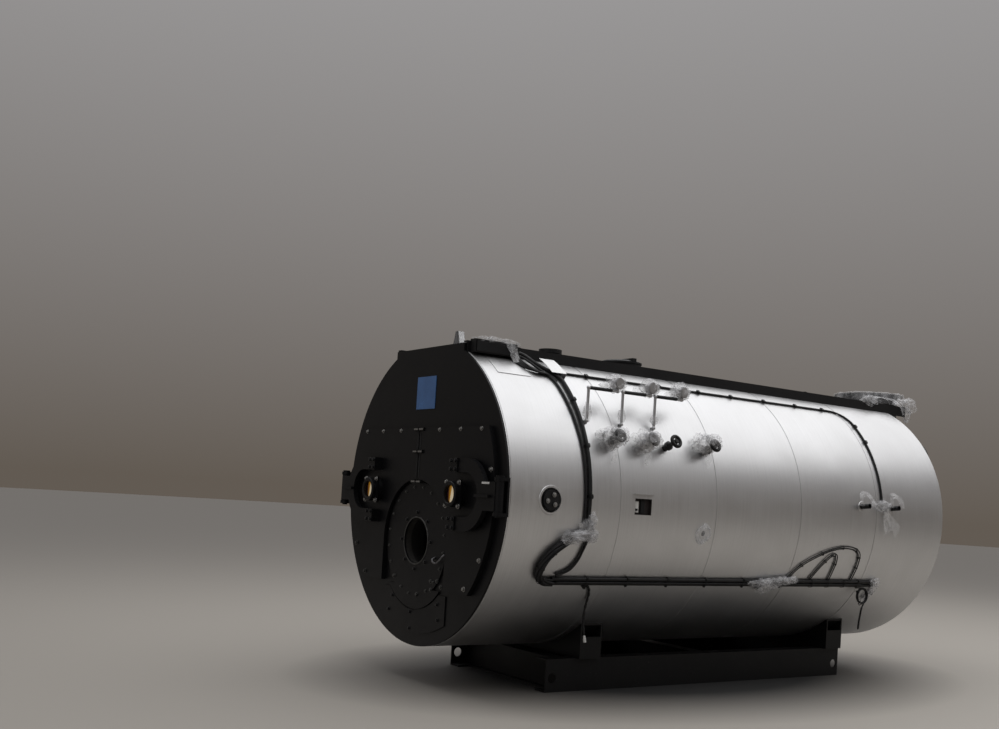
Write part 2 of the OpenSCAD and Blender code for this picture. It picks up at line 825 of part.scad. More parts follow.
module flue_collar() {
    bolt_pcr = (flue_r + flue_t + flue_flange_r) / 2;
    height = flue_z - rear_box_top;
    color("#19191b") translate([0, flue_y, axis_h + rear_box_top]) difference() {
        union() {
            cylinder(r = flue_r + flue_t, h = height);
            translate([0, 0, height - 20]) cylinder(r = flue_flange_r, h = 20);
            cylinder(r = flue_r + flue_t + 30, h = 10);
        }
        translate([0, 0, -1]) cylinder(r = flue_r, h = height + 2);
        for (i = [0 : flue_bolts - 1]) {
            rotate(i * 360 / flue_bolts) translate([bolt_pcr, 0, height - 21])
                cylinder(r = 9, h = 22, $fn = 24);
        }
    }
}

module kerb() {
    color("#161618") slab(face_back, rear_y + kerb_over) {
        translate([kerb_x - walk_t, cut_z]) square([walk_t, kerb_z - cut_z]);
        translate([kerb_x - kerb_flange, kerb_z - walk_t]) square([kerb_flange, walk_t]);
    }
}

// Round hole through the deck at y
module deck_hole(y, r) {
    translate([0, y, axis_h + crown_z - 2 * walk_t]) cylinder(r = r, h = 3 * walk_t);
}

module deck() {
    color("#1a1a1c") difference() {
        slab(face_back, rear_front)
            translate([walk_t - kerb_x, crown_z - walk_t]) square([2 * (kerb_x - walk_t), walk_t]);
        for (y = [-lug_front, lug_rear]) {
            translate([-lug_t / 2 - deck_gap, y - lug_l / 2 - deck_gap, axis_h + crown_z - 2 * walk_t])
                cube([lug_t + 2 * deck_gap, lug_l + 2 * deck_gap, 3 * walk_t]);
        }
        deck_hole(steam_y, steam_r + 10 + deck_gap);
        deck_hole(-manhole_y, manhole_r + 12 + deck_gap);
        deck_hole(blank_y, blank_r + 8 + deck_gap);
        for (i = [0, 1]) deck_hole(safety_y + i * safety_pitch, safety_r + 8 + deck_gap);
    }
}

// Plate lugs with rounded tops and an eye
module lifting_lugs() {
    top = crown_z + lug_h - 2 * lug_eye_r;
    color("#161618") for (y = [-lug_front, lug_rear]) {
        difference() {
            union() {
                translate([-lug_t / 2, y - lug_l / 2, axis_h + shell_r - 20])
                    cube([lug_t, lug_l, crown_z - shell_r + 50]);
                translate([-lug_t / 2, y, axis_h + top]) rotate([0, 90, 0])
                    cylinder(r = 2 * lug_eye_r, h = lug_t);
            }
            translate([-lug_t, y, axis_h + top]) rotate([0, 90, 0]) cylinder(r = lug_eye_r, h = 2 * lug_t);
            drum(y - lug_l, y + lug_l, shell_r);
        }
    }
}

// Upright nozzle on the crown of the shell with a drilled flange on top
module nozzle(y, r, wall, flange_r, top, bolts) {
    foot = shell_r - 40;
    difference() {
        translate([0, y, axis_h + foot]) difference() {
            union() {
                cylinder(r = r + wall, h = top - foot);
                translate([0, 0, top - foot - 22]) cylinder(r = flange_r, h = 22);
            }
            translate([0, 0, -1]) cylinder(r = r, h = top - foot + 2);
            for (i = [0 : bolts - 1]) {
                rotate((i + 0.5) * 360 / bolts) translate([(r + wall + flange_r) / 2, 0, top - foot - 23])
                    cylinder(r = 9, h = 24, $fn = 24);
            }
        }
        drum(y - flange_r, y + flange_r, shell_r);
    }
}

module steam_outlet() {
    color("#202022") nozzle(steam_y, steam_r, 10, 170, crown_z + nozzle_h, 8);
}

module safety_nozzles() {
    color("#202022") for (i = [0, 1]) {
        nozzle(safety_y + i * safety_pitch, safety_r, 8, 100, crown_z + nozzle_h, 4);
    }
}

// Nozzle at the front, closed by a blank flange
module blank_nozzle() {
    top = crown_z + manhole_h;
    color("#202022") {
        nozzle(blank_y, blank_r, 8, 115, top - 18, 4);
        translate([0, blank_y, axis_h + top - 18]) cylinder(r = 115, h = 18);
    }
}

// Neck, dished cover and the bridge that clamps it
module manhole() {
    top = crown_z + manhole_h;
    cover_r = manhole_r + 20;
    color("#1c1c1e") {
        difference() {
            translate([0, -manhole_y, axis_h + shell_r - 40])
                cylinder(r = manhole_r + 12, h = top - 40 - shell_r + 40);
            drum(-manhole_y - 300, -manhole_y + 300, shell_r);
        }
        translate([0, -manhole_y, axis_h + top - 40]) rotate_extrude() polygon([
            [0, 0],
            [cover_r, 0],
            [cover_r, 18],
            [cover_r - 40, 34],
            [0, 40]
        ]);
        translate([-cover_r, -manhole_y - 25, axis_h + top - 22]) cube([2 * cover_r, 50, 34]);
    }
}

module skid_beam() {
    color("#141416") difference() {
        translate([0, skid_l / 2, 0]) rotate([90, 0, 0]) linear_extrude(skid_l) {
            translate([beam_x - web_t, 0]) square([web_t, beam_h]);
            translate([beam_in, 0]) square([flange_w, flange_t]);
            translate([beam_in, beam_h - flange_t]) square([flange_w, flange_t]);
        }
        for (s = [-1, 1]) {
            translate([beam_x - 2 * web_t, s * (skid_l / 2 - lash_in), lash_h])
                rotate([0, 90, 0]) cylinder(r = lash_r, h = 3 * web_t);
        }
    }
}

module skid_cross_members() {
    web_x = beam_x - web_t;
    color("#141416") for (y = [cross_in - skid_l / 2, 0, skid_l / 2 - cross_in]) {
        translate([-web_x, y - web_t / 2, flange_t]) cube([2 * web_x, web_t, beam_h - 2 * flange_t]);
        for (z = [0, beam_h - flange_t]) {
            translate([-beam_in, y - flange_w / 2, z]) cube([2 * beam_in, flange_w, flange_t]);
        }
    }
}

// Saddle at y: arc seat, two cross plates, ribs and a closed foot at each side
module saddle(y) {
    half = saddle_l / 2;
    color("#161618") {
        slab(y - half, y + half) difference() {
            intersection() {
                circle(jacket_r + saddle_t, $fn = 240);
                translate([-saddle_x, -2 * jacket_r]) square([2 * saddle_x, 2 * jacket_r]);
            }
            circle(jacket_r + fit_gap, $fn = 240);
        }
        for (y0 = [y - half, y + half - saddle_t]) {
            slab(y0, y0 + saddle_t) difference() {
                translate([-saddle_x, beam_under]) square([2 * saddle_x, saddle_top - beam_under]);
                circle(jacket_r + saddle_t / 2, $fn = 240);
            }
        }
        for (x = [-rib_x, rib_x - saddle_t]) {
            slab(y - half, y + half) difference() {
                translate([x, beam_under]) square([saddle_t, -beam_under]);
                circle(jacket_r + saddle_t / 2, $fn = 240);
            }
        }
        for (x = [-saddle_x, saddle_x - saddle_t]) {
            slab(y - half, y + half) translate([x, beam_under]) square([saddle_t, foot_h]);
        }
    }
}

module hand_hole_cover() {
    color("#101012") on_shell(hand_y, 0) {
        cylinder(r = hand_r - 12, h = jacket_t + 14);
        translate([0, 0, jacket_t - 24]) cylinder(r = hand_r, h = 18);
        for (a = [40, 160, 280]) rotate([0, 0, a]) translate([48, 0, 0]) cylinder(r = 13, h = jacket_t + 26);
    }
}

module side_nipples() {
    color("#121214") {
        for (y = nipple_ys) on_shell(y, nipple_angle) difference() {
            cylinder(r = nipple_r, h = jacket_t + nipple_out);
            translate([0, 0, jacket_t]) cylinder(r = nipple_r - 5, h = nipple_out + 1);
        }
        on_shell(plug_y, plug_angle) {
            cylinder(r = nipple_r - 8, h = jacket_t - 10);
            translate([0, 0, jacket_t - 30]) cylinder(r = nipple_r, h = 24, $fn = 6);
        }
    }
}

// Drip ledge over the window in the jacket and the bracket behind it
module gauge_window() {
    ledge_l = window_l + 22;
    ledge_z = window_h + 38;
    color("#b9babc") difference() {
        on_jacket(window_y, window_angle) translate([-12, -ledge_l, ledge_z])
            cube([12 + ledge_out, 2 * ledge_l, 4]);
        drum(window_y - 2 * ledge_l, window_y + 2 * ledge_l, jacket_r);
    }
    color("#141416") on_jacket(window_y, window_angle)
        translate([-jacket_t, -window_l + 20, -40]) cube([60, window_l - 10, 80]);
}

// Stub through the jacket, upright pipe, arm along the body and an upright round head
module gauge_pipes() {
    up_x = (jacket_r + 2 * pipe_r) * cos(gauge_angle);
    up_z = axis_h + (jacket_r + 2 * pipe_r) * sin(gauge_angle);
    color("#8f9092") for (y = gauge_ys) {
        on_shell(y, gauge_angle) cylinder(r = pipe_r, h = jacket_t + 2 * pipe_r);
        translate([up_x, y, up_z]) {
            sphere(r = pipe_r + 5);
            cylinder(r = pipe_r, h = pipe_h);
            translate([0, 0, pipe_h]) {
                sphere(r = pipe_r + 5);
                rotate([-90, 0, 0]) cylinder(r = pipe_r, h = gauge_arm);
                translate([0, gauge_arm, 0]) sphere(r = pipe_r + 5);
                translate([0, gauge_arm, 0]) cylinder(r = pipe_r, h = gauge_r);
                translate([-gauge_d / 2, gauge_arm, gauge_r + 16]) rotate([0, 90, 0]) {
                    cylinder(r = gauge_r, h = gauge_d);
                    cylinder(r = gauge_r - 8, h = gauge_d + 6);
                }
            }
        }
    }
}

// Body, flange, tapered bonnet, stem and a spoked handwheel
module gauge_valves() {
    rim_r = 10;
    wheel_z = jacket_t + valve_out - rim_r;
    color("#3c3c40") for (y = valve_ys) on_shell(y, valve_angle) {
        cylinder(r = valve_r, h = jacket_t + 40);
        translate([0, 0, jacket_t + 40]) cylinder(r = valve_r + 16, h = 26);
        translate([0, 0, jacket_t + 66]) cylinder(r1 = valve_r + 8, r2 = valve_r / 2, h = 50);
        cylinder(r = valve_r / 3, h = wheel_z + rim_r);
        translate([0, 0, wheel_z - 9]) cylinder(r = valve_r / 2 + 2, h = 18);
        translate([0, 0, wheel_z]) {
            rotate_extrude() translate([wheel_r - rim_r, 0]) circle(rim_r, $fn = 24);
            for (a = [0 : 90 : 270]) rotate([0, 90, a]) cylinder(r = 6, h = wheel_r - rim_r, $fn = 24);
        }
    }
}

// Thin cover sheet bent over the jacket near the front
module jacket_hatch() {
    color("#d8d9da") translate([0, box_back, axis_h]) rotate([90, 0, 0]) rotate([0, 0, hatch_top - hatch_span])
        rotate_extrude(angle = hatch_span, $fn = 240)
        translate([jacket_r + fit_gap, 0]) square([4, hatch_l]);
}

// Box on the kerb with a gland plate under its rear end
module junction_box() {
    color("#121214") difference() {
        union() {
            translate([kerb_x, front_y + 50, axis_h + cut_z + 12]) cube([80, 450, 118]);
            translate([kerb_x + 80, front_y + 65, axis_h + cut_z + 22]) cube([8, 420, 98]);
            translate([kerb_x + 2, box_back - 20, axis_h + cut_z]) cube([74, 20, 84]);
        }
        translate([0, front_y, axis_h]) rotate([-90, 0, 0]) cylinder(r = jacket_r + 5, h = 600, $fn = 360);
    }
}

// Drop from the junction box and the service loop under it
module front_loom() {
    color("#0e0e10") {
        jacket_cable(LEAD_IN, loom_r);
        jacket_arc(drop_y, drop_end, drop_top, loom_r);
        jacket_cable(THIN_DROP, thin_r);
        jacket_cable(BUNDLE, bundle_r);
        jacket_cable(INNER_PAIR, loom_r);
    }
}

// Two cables along the lower side, with two arcs at the rear
module lower_loom() {
    color("#0e0e10") {
        jacket_run(run_start, run_end, -run_angle, loom_r);
        jacket_run(run_start, run_end, -run_low, loom_r);
        jacket_cable(REAR_OUTER, thin_r);
        jacket_cable(REAR_INNER, thin_r);
    }
}

module top_conduit() {
    color("#0e0e10") {
        jacket_run(conduit_start, conduit_end, conduit_angle, conduit_r);
        jacket_cable(CONDUIT_BEND, conduit_r);
        jacket_arc(rear_drop_y, rear_drop_end, rear_drop_top, conduit_r);
    }
}

// Section of a saddle clip over a cable of radius r, open towards the jacket
module clip_section(r) {
    hole_r = r + 2 * fit_gap;
    difference() {
        translate([0, -r - clip_t]) square([2 * r + clip_t, 2 * (r + clip_t)]);
        translate([r + fit_gap, 0]) circle(hole_r, $fn = 48);
        translate([-1, -hole_r]) square([r + fit_gap + 1, 2 * hole_r]);
    }
}

// Clip over a cable that runs along the body
module clip_along(y, angle, r) {
    on_jacket(y, angle) rotate([90, 0, 0]) linear_extrude(clip_w, center = true) clip_section(r);
}

// Clip over a cable that runs around the body
module clip_around(y, angle, r) {
    on_jacket(y, angle) linear_extrude(clip_w, center = true) clip_section(r);
}

// Strap around both cables of the lower run, longer at its lower end by extra degrees
module run_strap(y, extra) {
    over = (loom_r + clip_t) / jacket_r * 57.3;
    difference() {
        translate([0, y, axis_h]) rotate([90, 0, 0]) rotate([0, 0, -run_low - over - extra])
            rotate_extrude(angle = run_step + 2 * over + extra, $fn = 240)
            translate([jacket_r + fit_gap, 0]) square([2 * loom_r + clip_t, clip_w]);
        for (a = [run_angle, run_low]) {
            on_jacket(y - 2 * clip_w, -a) translate([loom_r + fit_gap, 0, 0])
                rotate([-90, 0, 0]) cylinder(r = loom_r + 1, h = 4 * clip_w);
        }
    }
}

module loom_clips() {
    color("#0a0a0c") {
        for (d = RUN_STRAPS) run_strap(front_y + d, 0);
        run_strap(front_y + TAIL_STRAP, 1);
        for (d = CONDUIT_CLIPS) clip_along(front_y + d, conduit_angle, conduit_r);
        for (a = REAR_DROP_CLIPS) clip_around(rear_drop_y, a, conduit_r);
        for (a = DROP_CLIPS) clip_around(drop_y, a, loom_r);
    }
}

module front_tail() {
    color("#0e0e10") cable(smooth(FRONT_TAIL, 2), tail_r);
}

module rear_coil() {
    color("#0e0e10") translate([coil_x, coil_y, coil_z]) rotate([0, 90, 0])
        rotate_extrude() translate([coil_r, 0]) circle(coil_bundle_r, $fn = 24);
}

module rear_tail() {
    color("#0e0e10") cable(smooth(REAR_TAIL, 2), tail_r);
}

module name_plate() {
    color("#3f74b5") slab(front_y - 5, front_y) translate([-165, 765]) square([330, 300]);
}

front_plate();
mirror([1, 0, 0]) door();  // left_door
door();  // right_door
mirror([1, 0, 0]) lining();  // left_lining
lining();  // right_lining
mirror([1, 0, 0]) yoke();  // left_yoke
yoke();  // right_yoke
mirror([1, 0, 0]) sight_port();  // left_sight_port
sight_port();  // right_sight_port
mirror([1, 0, 0]) hinge();  // left_hinge
hinge();  // right_hinge
burner_plate();
burner_throat();
lower_cover();
furnace_tube();
furnace_end();
tube_plate();
fire_tubes();
smokebox_wrapper();
pressure_shell();
rear_head();
jacket_band(1);  // jacket_band_1
jacket_band(2);  // jacket_band_2
jacket_band(3);  // jacket_band_3
jacket_band(4);  // jacket_band_4
jacket_band(5);  // jacket_band_5
rear_plate();
rear_smokebox();
rear_covers();
flue_collar();
mirror([1, 0, 0]) kerb();  // left_kerb
kerb();  // right_kerb
deck();
lifting_lugs();
manhole();
blank_nozzle();
steam_outlet();
safety_nozzles();
mirror([1, 0, 0]) skid_beam();  // left_skid_beam
skid_beam();  // right_skid_beam
skid_cross_members();
saddle(-saddle_front);  // front_saddle
saddle(saddle_rear);  // rear_saddle
hand_hole_cover();
side_nipples();
gauge_window();
gauge_pipes();
gauge_valves();
jacket_hatch();
junction_box();
front_loom();
lower_loom();
top_conduit();
loom_clips();
front_tail();
rear_coil();
rear_tail();
name_plate();
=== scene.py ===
"""Looks of the horizontal fire-tube boiler: finishes, cables, film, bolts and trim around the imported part."""
import math

import bmesh
import bpy
from mathutils import Matrix, Quaternion, Vector, noise


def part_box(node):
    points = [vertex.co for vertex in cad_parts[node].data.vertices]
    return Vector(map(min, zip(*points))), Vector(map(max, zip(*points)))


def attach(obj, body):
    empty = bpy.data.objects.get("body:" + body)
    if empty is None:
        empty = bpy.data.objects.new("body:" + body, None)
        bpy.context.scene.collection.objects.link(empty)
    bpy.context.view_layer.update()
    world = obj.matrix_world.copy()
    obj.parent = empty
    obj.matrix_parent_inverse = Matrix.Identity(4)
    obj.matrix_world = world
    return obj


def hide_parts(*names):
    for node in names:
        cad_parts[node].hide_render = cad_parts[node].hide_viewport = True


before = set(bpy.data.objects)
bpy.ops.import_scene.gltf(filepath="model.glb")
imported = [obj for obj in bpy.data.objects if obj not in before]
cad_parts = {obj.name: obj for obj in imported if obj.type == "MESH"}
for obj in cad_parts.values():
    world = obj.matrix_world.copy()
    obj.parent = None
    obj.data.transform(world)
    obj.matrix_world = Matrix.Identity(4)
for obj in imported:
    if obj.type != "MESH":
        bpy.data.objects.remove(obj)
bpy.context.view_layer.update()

VESSEL, LEFT, RIGHT = "vessel", "left_door", "right_door"
DOORS = ((-1, LEFT), (1, RIGHT))
FORWARD = Vector((0, -1, 0))
TAU = 2 * math.pi

# Measures of the part, in metres
jacket_low, jacket_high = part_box("jacket_band_1")
JACKET_R = (jacket_high.x - jacket_low.x) / 2
AXIS_Z = jacket_low.z + JACKET_R
FRONT_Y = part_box("front_plate")[0].y
BURNER_PLATE_Y = FRONT_Y - 0.016
LOWER_COVER_Y = FRONT_Y - 0.01
BURNER_Z = AXIS_Z - 0.445
DOOR_Y = FRONT_Y - 0.045
PORT_FACE_Y = DOOR_Y - 0.074
YOKE_FOOT_Y = DOOR_Y - 0.082
PORT_X = 0.745

# Fittings of the right side: distance behind the front face and degrees over the horizontal
HAND_HOLE_BACK = 0.445
PLUG_BACK, PLUG_ANGLE = 2.248, -9.3
NIPPLE_BACKS, NIPPLE_ANGLE = (4.51, 5.0), 5.2
WINDOW_BACK, WINDOW_ANGLE = 1.478, -0.5
VALVE_BACKS = (1.13, 1.523, 1.79, 2.287)
WHEEL_ANGLE, WHEEL_HEIGHT = 22.5, 0.16
GAUGE_BACKS = (0.909, 1.305, 1.693)
GAUGE_PIPE_R = JACKET_R + 0.026
GAUGE_PIPE_X = GAUGE_PIPE_R * math.cos(math.radians(30))
GAUGE_PIPE_Z = AXIS_Z + GAUGE_PIPE_R * math.sin(math.radians(30))

# Camera where the photograph was taken from
CAMERA_PLACE = Vector((8.814, -8.118, 1.745))
CAMERA_AIM = Vector((-0.272, -1.926, 2.061))
CAMERA_ROLL = 3.48
CAMERA_LENS = 39.94
CAMERA_SHIFT = 0.1


def set_camera():
    data = bpy.data.cameras.new("camera")
    data.lens = CAMERA_LENS
    data.sensor_width = 36
    data.shift_y = CAMERA_SHIFT
    data.clip_end = 200
    camera = bpy.data.objects.new("camera", data)
    bpy.context.collection.objects.link(camera)
    aim = (CAMERA_AIM - CAMERA_PLACE).to_track_quat("-Z", "Y")
    roll = Quaternion((0, 0, 1), math.radians(CAMERA_ROLL))
    camera.matrix_world = Matrix.Translation(CAMERA_PLACE) @ (aim @ roll).to_matrix().to_4x4()
    bpy.context.scene.camera = camera


# Places on the jacket: distance behind the front face, degrees over the horizontal, height over the sheet
def on_jacket(back, degrees, height=0.0):
    a = math.radians(degrees)
    r = JACKET_R + height
    return Vector((r * math.cos(a), FRONT_Y + back, AXIS_Z + r * math.sin(a)))


def outward(degrees):
    a = math.radians(degrees)
    return Vector((math.cos(a), 0, math.sin(a)))


# Shader node groups
class Nodes:
    """Adds nodes to a tree and links them in one line each."""

    def __init__(self, tree):
        self.tree = tree

    def add(self, kind, settings=None, **inputs):
        node = self.tree.nodes.new(kind)
        for key, value in (settings or {}).items():
            setattr(node, key, value)
        for key, value in inputs.items():
            self.put(value, node.inputs[key.replace("_", " ")])
        return node

    def put(self, value, socket):
        if isinstance(value, bpy.types.NodeSocket):
            self.tree.links.new(value, socket)
        else:
            socket.default_value = value

    def math(self, operation, *values):
        node = self.tree.nodes.new("ShaderNodeMath")
        node.operation = operation
        for value, socket in zip(values, node.inputs):
            self.put(value, socket)
        return node.outputs[0]

    def noise(self, vector, scale, detail=4.0, roughness=0.5, distortion=0.0):
        node = self.add("ShaderNodeTexNoise", Vector=vector, Scale=scale, Detail=detail,
                        Roughness=roughness, Distortion=distortion)
        return node.outputs["Fac"]

    def spread(self, value, low, high, new_low=0.0, new_high=1.0):
        node = self.add("ShaderNodeMapRange", Value=value, From_Min=low, From_Max=high,
                        To_Min=new_low, To_Max=new_high)
        return node.outputs["Result"]

    def place(self):
        return self.add("ShaderNodeTexCoord").outputs["Object"]

    def multiply_axes(self, vector, factors):
        node = self.add("ShaderNodeVectorMath", {"operation": "MULTIPLY"})
        self.put(vector, node.inputs[0])
        self.put(factors, node.inputs[1])
        return node.outputs[0]

    def blend(self, factor, a, b):
        """Mix of two colours, which are inputs 6 and 7 and output 2 of the node."""
        node = self.tree.nodes.new("ShaderNodeMix")
        node.data_type = "RGBA"
        self.put(factor, node.inputs["Factor"])
        self.put(a, node.inputs[6])
        self.put(b, node.inputs[7])
        return node.outputs[2]


def new_group(name, inputs, outputs):
    group = bpy.data.node_groups.new(name, "ShaderNodeTree")
    for label, kind, value in inputs:
        socket = group.interface.new_socket(name=label, in_out="INPUT", socket_type=kind)
        socket.default_value = value
    for label, kind in outputs:
        group.interface.new_socket(name=label, in_out="OUTPUT", socket_type=kind)
    nodes = Nodes(group)
    entry = group.nodes.new("NodeGroupInput").outputs
    leave = group.nodes.new("NodeGroupOutput").inputs
    return group, nodes, entry, leave


FLOAT, VECTOR = "NodeSocketFloat", "NodeSocketVector"


def make_grain_group():
    """Streaks and blotches of a rolled sheet: Stretch sets how fast the streaks change along each axis."""
    group, n, entry, leave = new_group(
        "grain",
        [("Stretch", VECTOR, (1, 1, 1)), ("Fine Scale", FLOAT, 40.0), ("Blotch Scale", FLOAT, 3.0)],
        [("Streak", FLOAT), ("Blotch", FLOAT), ("Height", FLOAT)],
    )
    place = n.place()
    streak = n.noise(n.multiply_axes(place, entry["Stretch"]), entry["Fine Scale"], 6.0, 0.65)
    blotch = n.noise(place, entry["Blotch Scale"], 5.0, 0.6, 0.4)
    n.put(n.spread(streak, 0.3, 0.7), leave["Streak"])
    n.put(n.spread(blotch, 0.3, 0.7), leave["Blotch"])
    n.put(streak, leave["Height"])
    return group


def make_dust_group():
    """Dust that settles where a surface faces up, broken by noise, with scattered specks."""
    group, n, entry, leave = new_group(
        "dust",
        [("Amount", FLOAT, 0.5), ("Scale", FLOAT, 4.0)],
        [("Mask", FLOAT), ("Specks", FLOAT)],
    )
    place = n.place()
    normal = n.add("ShaderNodeSeparateXYZ", Vector=n.add("ShaderNodeNewGeometry").outputs["Normal"])
    up = n.spread(normal.outputs["Z"], 0.2, 1.0)
    patches = n.spread(n.noise(place, entry["Scale"], 6.0, 0.65), 0.42, 0.72)
    base = n.math("MULTIPLY_ADD", up, 0.7, 0.3)
    mask = n.math("MULTIPLY", n.math("MULTIPLY", base, patches), entry["Amount"])
    specks = n.spread(n.noise(place, n.math("MULTIPLY", entry["Scale"], 30.0), 2.0, 0.5), 0.66, 0.74)
    n.put(mask, leave["Mask"])
    n.put(n.math("MULTIPLY", specks, entry["Amount"]), leave["Specks"])
    return group


def make_crinkle_group():
    """Creases of thin film: long curving ridges over a soft crumple."""
    group, n, entry, leave = new_group(
        "crinkle", [("Scale", FLOAT, 14.0)], [("Fold", FLOAT), ("Cloud", FLOAT), ("Height", FLOAT)]
    )
    place = n.place()
    bend = n.noise(place, entry["Scale"], 3.0, 0.5, 1.5)
    crease = n.spread(n.math("ABSOLUTE", n.math("SUBTRACT", bend, 0.5)), 0.0, 0.022, 1.0, 0.0)
    small = n.noise(place, n.math("MULTIPLY", entry["Scale"], 2.6), 2.0, 0.5, 1.0)
    fine = n.spread(n.math("ABSOLUTE", n.math("SUBTRACT", small, 0.5)), 0.0, 0.03, 0.6, 0.0)
    fold = n.math("MAXIMUM", crease, fine)
    cloud = n.spread(n.noise(place, n.math("MULTIPLY", entry["Scale"], 0.7), 4.0, 0.6), 0.4, 0.66)
    n.put(fold, leave["Fold"])
    n.put(cloud, leave["Cloud"])
    n.put(n.math("ADD", n.math("MULTIPLY", fold, 0.35), bend), leave["Height"])
    return group


GRAIN = make_grain_group()
DUST = make_dust_group()
CRINKLE = make_crinkle_group()


class Finish:
    """A material, its Principled BSDF and the nodes that feed it."""

    def __init__(self, name, color, roughness, metallic=0.0, **sockets):
        self.material = bpy.data.materials.new(name)
        self.material.use_nodes = True
        self.nodes = Nodes(self.material.node_tree)
        self.shader = self.material.node_tree.nodes["Principled BSDF"]
        self.set("Base Color", rgba(*color))
        self.set("Roughness", roughness)
        self.set("Metallic", metallic)
        for key, value in sockets.items():
            self.set(key.replace("_", " "), value)

    def set(self, socket, value):
        self.nodes.put(value, self.shader.inputs[socket])

    def use(self, group, **inputs):
        return self.nodes.add("ShaderNodeGroup", {"node_tree": group}, **inputs).outputs

    def bump(self, height, strength, distance):
        node = self.nodes.add("ShaderNodeBump", Height=height, Strength=strength, Distance=distance)
        self.set("Normal", node.outputs["Normal"])


def rgba(r, g, b):
    return (r, g, b, 1.0)


def make_jacket_sheet():
    """Brushed sheet whose grain runs around the body."""
    f = Finish("jacket_sheet", (0.62, 0.62, 0.63), 0.34, 1.0)
    grain = f.use(GRAIN, Stretch=(0.5, 26.0, 0.5), Fine_Scale=3.0, Blotch_Scale=1.6)
    marks = f.use(DUST, Amount=0.5, Scale=2.2)
    n = f.nodes
    shade = n.blend(grain["Streak"], rgba(0.585, 0.585, 0.59), rgba(0.66, 0.66, 0.665))
    shade = n.blend(n.math("MULTIPLY", grain["Blotch"], 0.35), shade, rgba(0.55, 0.548, 0.545))
    shade = n.blend(n.math("MULTIPLY", marks["Specks"], 0.5), shade, rgba(0.42, 0.41, 0.4))
    f.set("Base Color", shade)
    rough = n.math("MULTIPLY_ADD", grain["Streak"], 0.1, 0.3)
    f.set("Roughness", n.math("MULTIPLY_ADD", grain["Blotch"], 0.08, rough))
    f.bump(grain["Height"], 0.12, 0.002)
    return f.material


def make_paint(name, color, roughness, dust, grain_scale=9.0, sheen=0.28):
    """Satin paint with faint orange peel, dust on top faces and duller patches."""
    f = Finish(name, color, roughness, 0.0, Specular_IOR_Level=sheen)
    grain = f.use(GRAIN, Fine_Scale=grain_scale * 14, Blotch_Scale=grain_scale * 0.35)
    dirt = f.use(DUST, Amount=dust, Scale=3.0)
    n = f.nodes
    pale = rgba(*(min(1.0, c * 1.5 + 0.018) for c in color))
    shade = n.blend(n.math("MULTIPLY", grain["Blotch"], 0.35), rgba(*color), rgba(*(c * 0.72 for c in color)))
    shade = n.blend(dirt["Mask"], shade, pale)
    shade = n.blend(n.math("MULTIPLY", dirt["Specks"], 0.6), shade, rgba(0.2, 0.19, 0.18))
    f.set("Base Color", shade)
    rough = n.math("MULTIPLY_ADD", grain["Blotch"], 0.1, roughness - 0.05)
    f.set("Roughness", n.math("MULTIPLY_ADD", dirt["Mask"], 0.3, rough))
    f.bump(grain["Height"], 0.08, 0.001)
    return f.material


def make_metal(name, color, roughness, stretch=(1, 1, 1), rust=0.0):
    """Bare or cast metal with grain and a little rust where it is asked for."""
    f = Finish(name, color, roughness, 1.0)
    grain = f.use(GRAIN, Stretch=stretch, Fine_Scale=60.0, Blotch_Scale=7.0)
    n = f.nodes
    shade = n.blend(grain["Streak"], rgba(*(c * 0.82 for c in color)), rgba(*color))
    stain = n.math("MULTIPLY", grain["Blotch"], rust)
    f.set("Base Color", n.blend(stain, shade, rgba(0.16, 0.07, 0.03)))
    f.set("Metallic", n.math("SUBTRACT", 1.0, stain))
    f.set("Roughness", n.math("MULTIPLY_ADD", grain["Blotch"], 0.14, roughness - 0.05))
    f.bump(grain["Height"], 0.2, 0.001)
    return f.material


def make_refractory(name, painted_shade):
    """Cast refractory: sandy and pitted, and blended towards black by the second argument as painted shade deep
    in the burner's bore.
    """
    f = Finish(name, (0.55, 0.5, 0.42), 0.92)
    grain = f.use(GRAIN, Fine_Scale=90.0, Blotch_Scale=4.0)
    n = f.nodes
    shade = n.blend(grain["Streak"], rgba(0.47, 0.42, 0.35), rgba(0.6, 0.55, 0.47))
    shade = n.blend(n.math("MULTIPLY", grain["Blotch"], 0.55), shade, rgba(0.2, 0.18, 0.16))
    # painted shade: the second argument darkens the refractory towards black
    f.set("Base Color", n.blend(painted_shade, shade, rgba(0.008, 0.0075, 0.007)))
    f.bump(grain["Height"], 0.5, 0.004)
    return f.material


def make_sheath():
    """Black cable sheath with a faint weave of fine ridges and dust."""
    f = Finish("cable_sheath", (0.006, 0.006, 0.0065), 0.5, Specular_IOR_Level=0.3)
    grain = f.use(GRAIN, Fine_Scale=160.0, Blotch_Scale=12.0)
    dirt = f.use(DUST, Amount=0.12, Scale=9.0)
    n = f.nodes
    shade = n.blend(grain["Streak"], rgba(0.004, 0.004, 0.0045), rgba(0.009, 0.009, 0.01))
    f.set("Base Color", n.blend(dirt["Mask"], shade, rgba(0.05, 0.05, 0.049)))
    f.set("Roughness", n.math("MULTIPLY_ADD", grain["Blotch"], 0.2, 0.4))
    f.bump(grain["Height"], 0.25, 0.001)
    return f.material


def make_film():
    """Clear wrapping film: pale where it is folded, nearly clear between."""
    f = Finish("wrapping_film", (0.9, 0.9, 0.91), 0.22, Specular_IOR_Level=0.7)
    fold = f.use(CRINKLE, Scale=7.5)
    n = f.nodes
    haze = n.math("MULTIPLY_ADD", fold["Cloud"], 0.32, 0.08)
    f.set("Base Color", n.blend(fold["Fold"], rgba(0.78, 0.78, 0.8), rgba(0.97, 0.97, 0.98)))
    f.set("Alpha", n.math("MAXIMUM", haze, n.math("MULTIPLY", fold["Fold"], 0.34)))
    f.bump(fold["Height"], 0.25, 0.02)
    return f.material


